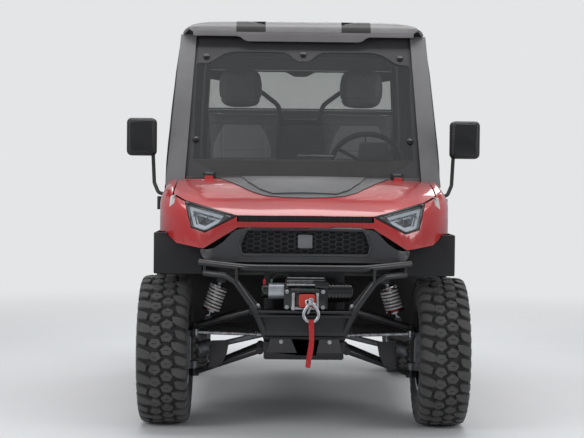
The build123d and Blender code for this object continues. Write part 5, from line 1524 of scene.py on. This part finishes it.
def makeWinch():
    y, z = winch["y"], winch["z"]
    can = lathePiece("can", winch["can"], (0, y, z), "X", 56)
    finishPiece(can, "chassis", "motor", 30, hides=("winch",))
    dark = [lathePiece(name, profile, (0, y, z), "X", 48) for name, profile in winch["ends"]]
    gear = [(0.098, 0.034), (0.100, 0.043)]
    for i in range(winch["fins"]):
        x = winch["finStart"] + i * winch["finPitch"]
        gear += [(x, 0.044), (x + 0.0075, 0.044), (x + 0.0085, 0.040), (x + 0.0130, 0.040)]
    gear += [(0.205, 0.042), (0.210, 0.036)]
    dark.append(lathePiece("gear", gear, (0, y, z - winch["gearDrop"]), "X", 56))
    for x in winch["feet"]:
        foot = [(y - 0.042, 0.5602), (y + 0.042, 0.5602), (y + 0.038, 0.684), (y - 0.038, 0.684)]
        dark.append(platePiece("foot", roundCorners(foot, 0.010), "YZ", x - 0.008, 0.016, 0.0015))
    dark.append(boxPiece("box", (-0.086, y - 0.034, 0.684), (0.094, y + 0.036, 0.702), 0.004))
    dark.append(boxPiece("relay", (0.043, y - 0.052, 0.662), (0.104, y - 0.020, 0.689), 0.003))
    plate = platePiece("plate", roundBox(-0.092, 0.566, 0.092, 0.658, 0.008),
                       "XZ", winch["face"] + 0.003, 0.009, 0.0012)
    dark.append(plate)
    dark.append(lathePiece("roller", [(-0.060, 0.0095), (0.060, 0.0095)], (0, winch["face"] - 0.009, 0.648),
                           "X", 28))
    finishJoined("winch_castings", dark, "chassis", "gloss", 30)
    # wire rope wound on the drum, in rounded turns
    coil = [(-0.064, 0.020)]
    for i in range(winch["turns"]):
        x = winch["turnStart"] + i * winch["turnPitch"]
        coil += [(x + along, radius) for along, radius in winch["turn"]]
    coil.append((0.0635, 0.020))
    rope = lathePiece("winch_rope_turns", coil, (0, y, z), "X", 48)
    finishPiece(rope, "chassis", "steel", 50)
    bright = [lathePiece("tie", [(-0.080, 0.0062), (0.096, 0.0062)], (0, y + side * 0.034, 0.674), "X", 20)
              for side in (-1, 1)]
    bright += [boxPiece("bar", (-0.078, y - 0.036, 0.7035), (0.084, y - 0.030, 0.7075), 0.001)]
    bright += [boxPiece("bar", (-0.078, y - 0.036, 0.6925 - i * 0.0065),
                        (0.084 - i * 0.05, y - 0.0335, 0.6945 - i * 0.0065),
                        0.0006) for i in range(2)]
    for x in winch["uprights"]:
        bright.append(lathePiece("upright",
                                 [(0.564, 0.0062), (0.566, 0.0088), (0.653, 0.0088), (0.655, 0.0062)],
                                 (x, winch["face"] - 0.008, 0), "Z", 28))
    bright.append(lathePiece("lower", [(-0.060, 0.0088), (0.060, 0.0088)],
                             (0, winch["face"] - 0.006, 0.5735), "X", 28))
    finishJoined("winch_bright_parts", bright, "chassis", "steel", 30)
    for name, x, radius in winch["boots"]:
        cap = lathePiece("boot", [(0.672, radius), (0.690, radius), (0.695, radius * 0.75),
                                  (0.697, radius * 0.4)],
                         (x, y - 0.006, 0), "Z", 24)
        finishPiece(cap, "chassis", name, 40).name = name + "_terminal_boot"
    boltsOn("winch_bolts", [((x, winch["face"] + 0.003, z), (0, -1, 0)) for x in (-0.079, 0.079)
                            for z in (0.578, 0.646)]
            + [((-0.078, y + dy, 0.644 + dz), (-1, 0, 0)) for dy in (-0.03, 0.03) for dz in (-0.02, 0.02)],
            0.0062, 0.005, "chassis")
    cables = [tubePiece("cable", [(x, y + back, up) for x, back, up in route], 0.0035)
              for route in winch["cables"]]
    finishJoined("winch_cables", cables, "chassis", "black", 60)


hook = {
    "face": -1.447, "wire": 0.0078,
    "bow": [(0.019, 0.600), (0.010, 0.583), (-0.003, 0.566), (-0.007, 0.547), (0.000, 0.530), (0.014, 0.519),
            (0.027, 0.5165), (0.041, 0.520), (0.055, 0.532), (0.060, 0.549), (0.055, 0.568), (0.043, 0.584),
            (0.032, 0.600)],
}


def makeHook():
    face = hook["face"]
    stop = platePiece("hook_stop_plate", roundBox(-0.027, 0.580, 0.044, 0.637, 0.012, 5), "XZ", face + 0.004,
                      0.011, 0.0025, 3)
    finishPiece(stop, "chassis", "redPlate", 30, hides=("winch_hook",))
    bow = tubePiece("bow", [(x, face, z) for x, z in hook["bow"]], hook["wire"], segments=20)
    shank = platePiece("shank", roundCorners([(0.012, 0.590), (0.038, 0.590), (0.035, 0.622),
                                              (0.016, 0.622)], 0.005),
                       "XZ", face - 0.007, 0.013, 0.003, 3)
    eye = lathePiece("eye", [(-0.006, 0.0060), (-0.008, 0.0085), (-0.006, 0.0120), (0.006, 0.0120),
                             (0.008, 0.0085),
                             (0.006, 0.0060)], (0.012, face - 0.006, 0.605), "Y", 32, closed=True)
    pin = lathePiece("pin", [(-0.002, 0.0055), (0.044, 0.0055)], (0.004, face - 0.001, 0.594), "X", 20)
    latch = platePiece("latch", roundCorners([(0.020, 0.584), (0.030, 0.584), (0.016, 0.552),
                                              (0.008, 0.552)], 0.003),
                       "XZ", face - 0.003, 0.003, 0.0006)
    finishJoined("clevis_hook", [bow, shank, eye, pin, latch], "chassis", "forged", 40)


strap = {"width": 0.024, "thick": 0.0017,
         "route": [(0.028, -1.4495, 0.5106), (0.0285, -1.4500, 0.490), (0.0300, -1.4515, 0.460),
                   (0.0300, -1.4520, 0.430), (0.0265, -1.4515, 0.400), (0.0215, -1.4500, 0.370),
                   (0.0175, -1.4480, 0.345), (0.0150, -1.4460, 0.318)]}


def makeStrap():
    curve = bpy.data.curves.new("strap_route", "CURVE")
    curve.dimensions = "3D"
    spline = curve.splines.new("NURBS")
    spline.points.add(len(strap["route"]) - 1)
    for target, place in zip(spline.points, strap["route"]):
        target.co = (*place, 1.0)
    spline.order_u = 3
    spline.use_endpoint_u = True
    spline.resolution_u = 8
    carrier = newObject("strap_route", curve)
    line = bpy.data.meshes.new_from_object(carrier.evaluated_get(bpy.context.evaluated_depsgraph_get()))
    path = [vert.co.copy() for vert in line.vertices]
    bpy.data.objects.remove(carrier)
    count, points, faces = len(path), [], []
    half, thin = strap["width"] / 2, strap["thick"] / 2
    for i, place in enumerate(path):
        along = (path[min(i + 1, count - 1)] - path[max(i - 1, 0)]).normalized()
        share = i / (count - 1)
        # the webbing turns a little one way, then back
        turn = math.radians(6 + 26 * math.sin(share * math.pi * 1.6) - 10 * share)
        wide = Vector((math.cos(turn), math.sin(turn), 0))
        wide = (wide - along * wide.dot(along)).normalized()
        out = along.cross(wide).normalized()
        for a, b in ((-half, -thin), (-half * 0.5, -thin * 1.2), (half * 0.5, -thin * 1.2), (half, -thin),
                     (half, thin), (half * 0.5, thin * 1.2), (-half * 0.5, thin * 1.2), (-half, thin)):
            points.append(place + wide * a + out * b)
    for i in range(count - 1):
        faces += [(i * 8 + k, i * 8 + (k + 1) % 8, i * 8 + 8 + (k + 1) % 8, i * 8 + 8 + k) for k in range(8)]
    faces += [tuple(range(8)), tuple(range((count - 1) * 8, count * 8))]
    ribbon = finishPiece(tidyMesh(meshPiece("hook_pull_strap", points, faces)), "chassis",
                         "webbing",
                         50, hides=("hook_strap",))
    loop = lathePiece("strap_loop",
                      [(-0.0115, 0.0082), (-0.0110, 0.0100), (0.0110, 0.0100), (0.0115, 0.0082)],
                      (0.0275, -1.447, 0.5180), "X", 28, closed=True)
    finishPiece(loop, "chassis", "webbing", 40)


bumper = {
    "gusset": [(0.322, 0.694), (0.288, 0.694), (0.190, 0.575), (0.203, 0.548), (0.222, 0.566),
               (0.300, 0.668)],
    "gussetY": -1.418, "towY": -1.392, "guardY": -1.062, "sheet": 0.004,
    "tow": [(-0.150, 0.4375), (-0.055, 0.438), (-0.029, 0.398), (-0.029, 0.366), (0.051, 0.366),
            (0.051, 0.399),
            (0.061, 0.434), (0.150, 0.4375), (0.166, 0.376), (-0.166, 0.376)],
    "guard": [(0.338, 0.394), (0.420, 0.391), (0.432, 0.360), (0.424, 0.340), (0.436, 0.318), (0.430, 0.292),
              (0.437, 0.268), (0.405, 0.262), (0.370, 0.286), (0.350, 0.330)],
    "bolts": [(-0.102, -1.3925, 0.424), (0.110, -1.3925, 0.424), (-0.205, -1.4175, 0.585),
              (0.205, -1.4175, 0.585),
              (-0.298, -1.4195, 0.684), (0.298, -1.4195, 0.684)],
}


def sheetPair(name, outline, level):
    # the outline in sheet metal on both sides
    return [platePiece(name, [(side * a, b) for a, b in outline], "XZ", level, bumper["sheet"], 0.001)
            for side in (-1, 1)]


def makeBumper():
    softenNode("front_bumper", "coat", 0, angle=40)
    plates = sheetPair("gusset", bumper["gusset"], bumper["gussetY"])
    plates.append(platePiece("tow_plate", roundCorners(bumper["tow"], 0.004), "XZ", bumper["towY"],
                             bumper["sheet"], 0.001))
    finishJoined("bumper_plates", plates, "chassis", "skid", 30)
    places = [(place, (0, -1, 0)) for place in bumper["bolts"]]
    boltsOn("bumper_bolts", places, 0.006, 0.005, "chassis", "steel")
    softenNode("skid_plates", "skid", 0.002)
    softenNode("frame", "coat", 0.0025)
    # scalloped guards on the lower arms, ahead of the driveshafts
    guards = sheetPair("guard", bumper["guard"], bumper["guardY"])
    finishJoined("arm_guards", guards, "chassis", "skid", 30)


makeWinch()
makeHook()
makeStrap()
makeBumper()
print("winch, hook, strap and bumper are made")

# wheels

wheelTrim = {
    # sizes from the wheel's middle outwards
    "nuts": 4, "nutOut": 0.058, "nutCircle": 0.045, "ringBolts": 16, "ringBoltOut": 0.0885,
    "ringCircle": 0.181,
    "cap": [(0.050, 0.0275), (0.066, 0.0275), (0.072, 0.024), (0.074, 0.015)],
    "ring": [(0.084, 0.176), (0.088, 0.176), (0.090, 0.180), (0.088, 0.186), (0.084, 0.186)],
}


def boltCircle(centre, side, count, out, radius, start=0.0):
    # places on a circle about the axle, each facing outwards
    places = []
    for i in range(count):
        turn = start + 2 * math.pi * i / count
        places.append(((centre.x + side * out, centre.y + radius * math.cos(turn),
                        centre.z + radius * math.sin(turn)),
                       (side, 0, 0)))
    return places


def makeWheels():
    for end in ("front", "rear"):
        for hand, side in (("left", 1), ("right", -1)):
            node, body = end + "_" + hand + "_rim", end + "_" + hand + "_wheel"
            low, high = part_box(end + "_" + hand + "_tyre")
            centre = (low + high) / 2
            outward = (side, 0, 0)
            softenNode(node, "rimPaint", 0, angle=40)
            places = boltCircle(centre, side, wheelTrim["nuts"], wheelTrim["nutOut"], wheelTrim["nutCircle"],
                                math.pi / 4)
            boltsOn(node + "_nuts", places, 0.0095, 0.014, body)
            cap = lathePiece("cap", wheelTrim["cap"], (0, 0, 0), "Z", 36)
            finishPiece(aimPiece(cap, centre, outward), body, "gloss").name = node + "_cap"
            ring = lathePiece("ring", wheelTrim["ring"], (0, 0, 0), "Z", 72, closed=True)
            finishPiece(aimPiece(ring, centre, outward), body,
                        "steelDark").name = (node + "_lock_ring")
            places = boltCircle(centre, side, wheelTrim["ringBolts"], wheelTrim["ringBoltOut"],
                                wheelTrim["ringCircle"])
            boltsOn(node + "_ring_bolts", places, 0.0040, 0.003, body)


makeWheels()
print("wheels are made")

# doors, mirrors, fenders and the flanks

flank = {"line": [(0.470, 0.655), (0.780, 0.683), (1.100, 0.680), (1.500, 0.662), (1.868, 0.628)]}
doorTrim = {
    "panel": roundCorners([(-0.470, 0.560), (0.380, 0.560), (0.470, 0.700), (0.500, 1.010), (0.500, 1.105),
                           (-0.470, 1.105)], 0.035),
    "crease": roundCorners([(-0.400, 0.640), (0.360, 0.640), (0.440, 0.860), (-0.400, 0.760)], 0.025),
    "window": roundCorners([(-0.395, 1.165), (0.495, 1.165), (0.495, 1.790), (-0.127, 1.790),
                            (-0.395, 1.242)], 0.020),
    "pocket": roundBox(0.350, 1.115, 0.470, 1.155, 0.012),
    "lever": roundCorners([(0.362, 1.124), (0.448, 1.124), (0.458, 1.146), (0.362, 1.146)], 0.008),
    "hingeX": 0.7015, "hingeY": -0.472, "hinges": (0.640, 1.010), "boltGap": 0.014,
}


def flankAt(a, b):
    return smoothAt(flank["line"], b)


def sidePatch(name, outline, lift, thick, holes=(), bevel=0.002):
    return skinPatch(name, outline, flankAt, "side", lift, thick, holes, 0.04, bevel)


def makeDoors():
    for hand, side in (("left", 1), ("right", -1)):
        body = hand + "_door"
        softenNode(body, "black", 0.004, 2)
        seal = [inset(doorTrim["window"], -0.012), 0.003, 0.005, [inset(doorTrim["window"], 0.004)], 0.0015]
        pieces = [("painted_panel", sidePatch("panel", doorTrim["panel"], 0.005, 0.006), "red"),
                  ("panel_crease", sidePatch("crease", doorTrim["crease"], 0.009, 0.005), "red"),
                  ("window_seal", sidePatch("seal", *seal), "black"),
                  ("handle_pocket", sidePatch("pocket", doorTrim["pocket"], 0.002, 0.003), "gloss"),
                  ("handle_lever", sidePatch("lever", doorTrim["lever"], 0.014, 0.009, (), 0.003), "black")]
        for label, piece, material in pieces:
            if side < 0:
                other = mirrorPiece(piece)
                bpy.data.objects.remove(piece)
                piece = other
            finishPiece(piece, body, material).name = body + "_" + label
        bolts = [((side * doorTrim["hingeX"], doorTrim["hingeY"], z + step), (side, 0, 0))
                 for z in doorTrim["hinges"]
                 for step in (doorTrim["boltGap"], -doorTrim["boltGap"])]
        boltsOn(body + "_hinge_bolts", bolts, 0.005, 0.004, body, "gloss")


def makeMirrors():
    softenNode("mirrors", "black", 0.003, 2, 50)
    panels, glasses = [], []
    for side in (-1, 1):
        outline = roundCorners([(0.730, 1.262), (0.838, 1.254), (0.850, 1.408), (0.736, 1.412)], 0.016)
        panels.append(platePiece("panel", [(side * a, b) for a, b in outline], "XZ", -0.6210, 0.006, 0.0022,
                                 3))
        outline = roundBox(0.730, 1.254, 0.850, 1.412, 0.018)
        glasses.append(platePiece("glass", [(side * a, b) for a, b in outline], "XZ", -0.5575, 0.0025,
                                  0.0006))
    finishJoined("mirror_back_panels", panels, "chassis", "gloss", 40)
    finishJoined("mirror_glasses", glasses, "chassis", "mirrorGlass", 40)


def makeFenders():
    softenNode("front_fenders", "red", 0.005, 3)
    softenNode("front_flares", "flare", 0.012, 3, 40)
    softenNode("rear_flares", "flare", 0.003)
    softenNode("cowl", "black", 0.003)
    softenNode("cab_tub", "black", 0.005)
    softenNode("rear_panel", "roof", 0.004)
    # two blank pale patches on the fenders, a maker's stickers left empty
    place, normal = onSkin(noseSkin, 0.598, 1.032, "ahead")
    if place is not None:
        sticker = skinPatch("sticker", roundCorners([(0.586, 1.060), (0.612, 1.052), (0.612, 1.004),
                (0.590, 1.022)],
                                                    0.003), noseSkin, "ahead", 0.0006, 0.0004, (), 0.006)
        finishPiece(pairOf(sticker, "blank_stickers"), "chassis", "sticker")


def makeRear():
    softenNode("cargo_bed", "black", 0.004)
    softenNode("tailgate", "black", 0.004)
    softenNode("tail_lamps", "tail", 0.004)
    softenNode("hitch_receiver", "coat", 0.002)
    softenNode("exhaust", "exhaust", 0, angle=40)
    softenNode("engine", "cast", 0.004)
    runningGear = {"coat": ("lower_arms", "upper_arms"), "shock": ("shock_absorbers", "tie_rods"),
                   "cast": ("rear_uprights", "final_drives", "left_knuckle", "right_knuckle")}
    for material, nodes in runningGear.items():
        for node in nodes:
            softenNode(node, material, 0, angle=40)
    # painted side panels with pressed ribs, and the load floor's ribs
    low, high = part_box("cargo_bed")
    panels, ribs = [], []
    for side in (-1, 1):
        outline = roundCorners([(0.760, 0.860), (1.395, 0.860), (1.405, 1.060), (0.750, 1.060)], 0.020)
        panels.append(platePiece("side", outline, "YZ", side * 0.6625 - 0.0030, 0.0060, 0.002))
        for z in (0.915, 0.960, 1.005):
            panels.append(platePiece("rib", roundBox(0.800, z - 0.010, 1.350, z + 0.010, 0.009), "YZ",
                                     side * 0.6660 - 0.0030,
                                     0.0060, 0.0022))
    finishJoined("bed_side_panels", panels, "cargo_bed", "red", 35)
    for i in range(11):
        x = -0.55 + i * 0.11
        ribs.append(boxPiece("rib", (x - 0.020, 0.760, 0.8145), (x + 0.020, 1.410, 0.8190), 0.0018))
    finishJoined("bed_floor_ribs", ribs, "cargo_bed", "mat", 35)
    gate = [platePiece("field", roundBox(-0.520, 0.870, 0.520, 1.045, 0.02),
                       "XZ", 1.4385, 0.0045, 0.002)]
    gate += [platePiece("bar", roundBox(x - 0.16, 0.900, x + 0.16, 1.000, 0.015), "XZ", 1.4415, 0.0045,
                        0.002) for x in (-0.34, 0.34)]
    finishJoined("tailgate_pressings", gate, "tailgate", "black", 35)
    latch = [platePiece("dish", roundBox(-0.075, 0.985, 0.075, 1.040, 0.010),
                        "XZ", 1.4425, 0.0040, 0.0012),
             platePiece("pull", roundBox(-0.055, 1.000, 0.055, 1.020, 0.006),
                        "XZ", 1.4455, 0.0090, 0.0025, 3)]
    finishJoined("tailgate_latch", latch, "tailgate", "gloss", 35)


makeDoors()
makeMirrors()
makeFenders()

makeRear()
print("flanks and rear are made")

# the panes are the only CAD nodes that show as they are
for node in ("windshield", "rear_window", "left_door_glass", "right_door_glass"):
    finishNode(node, "glass")
print("panes are finished")
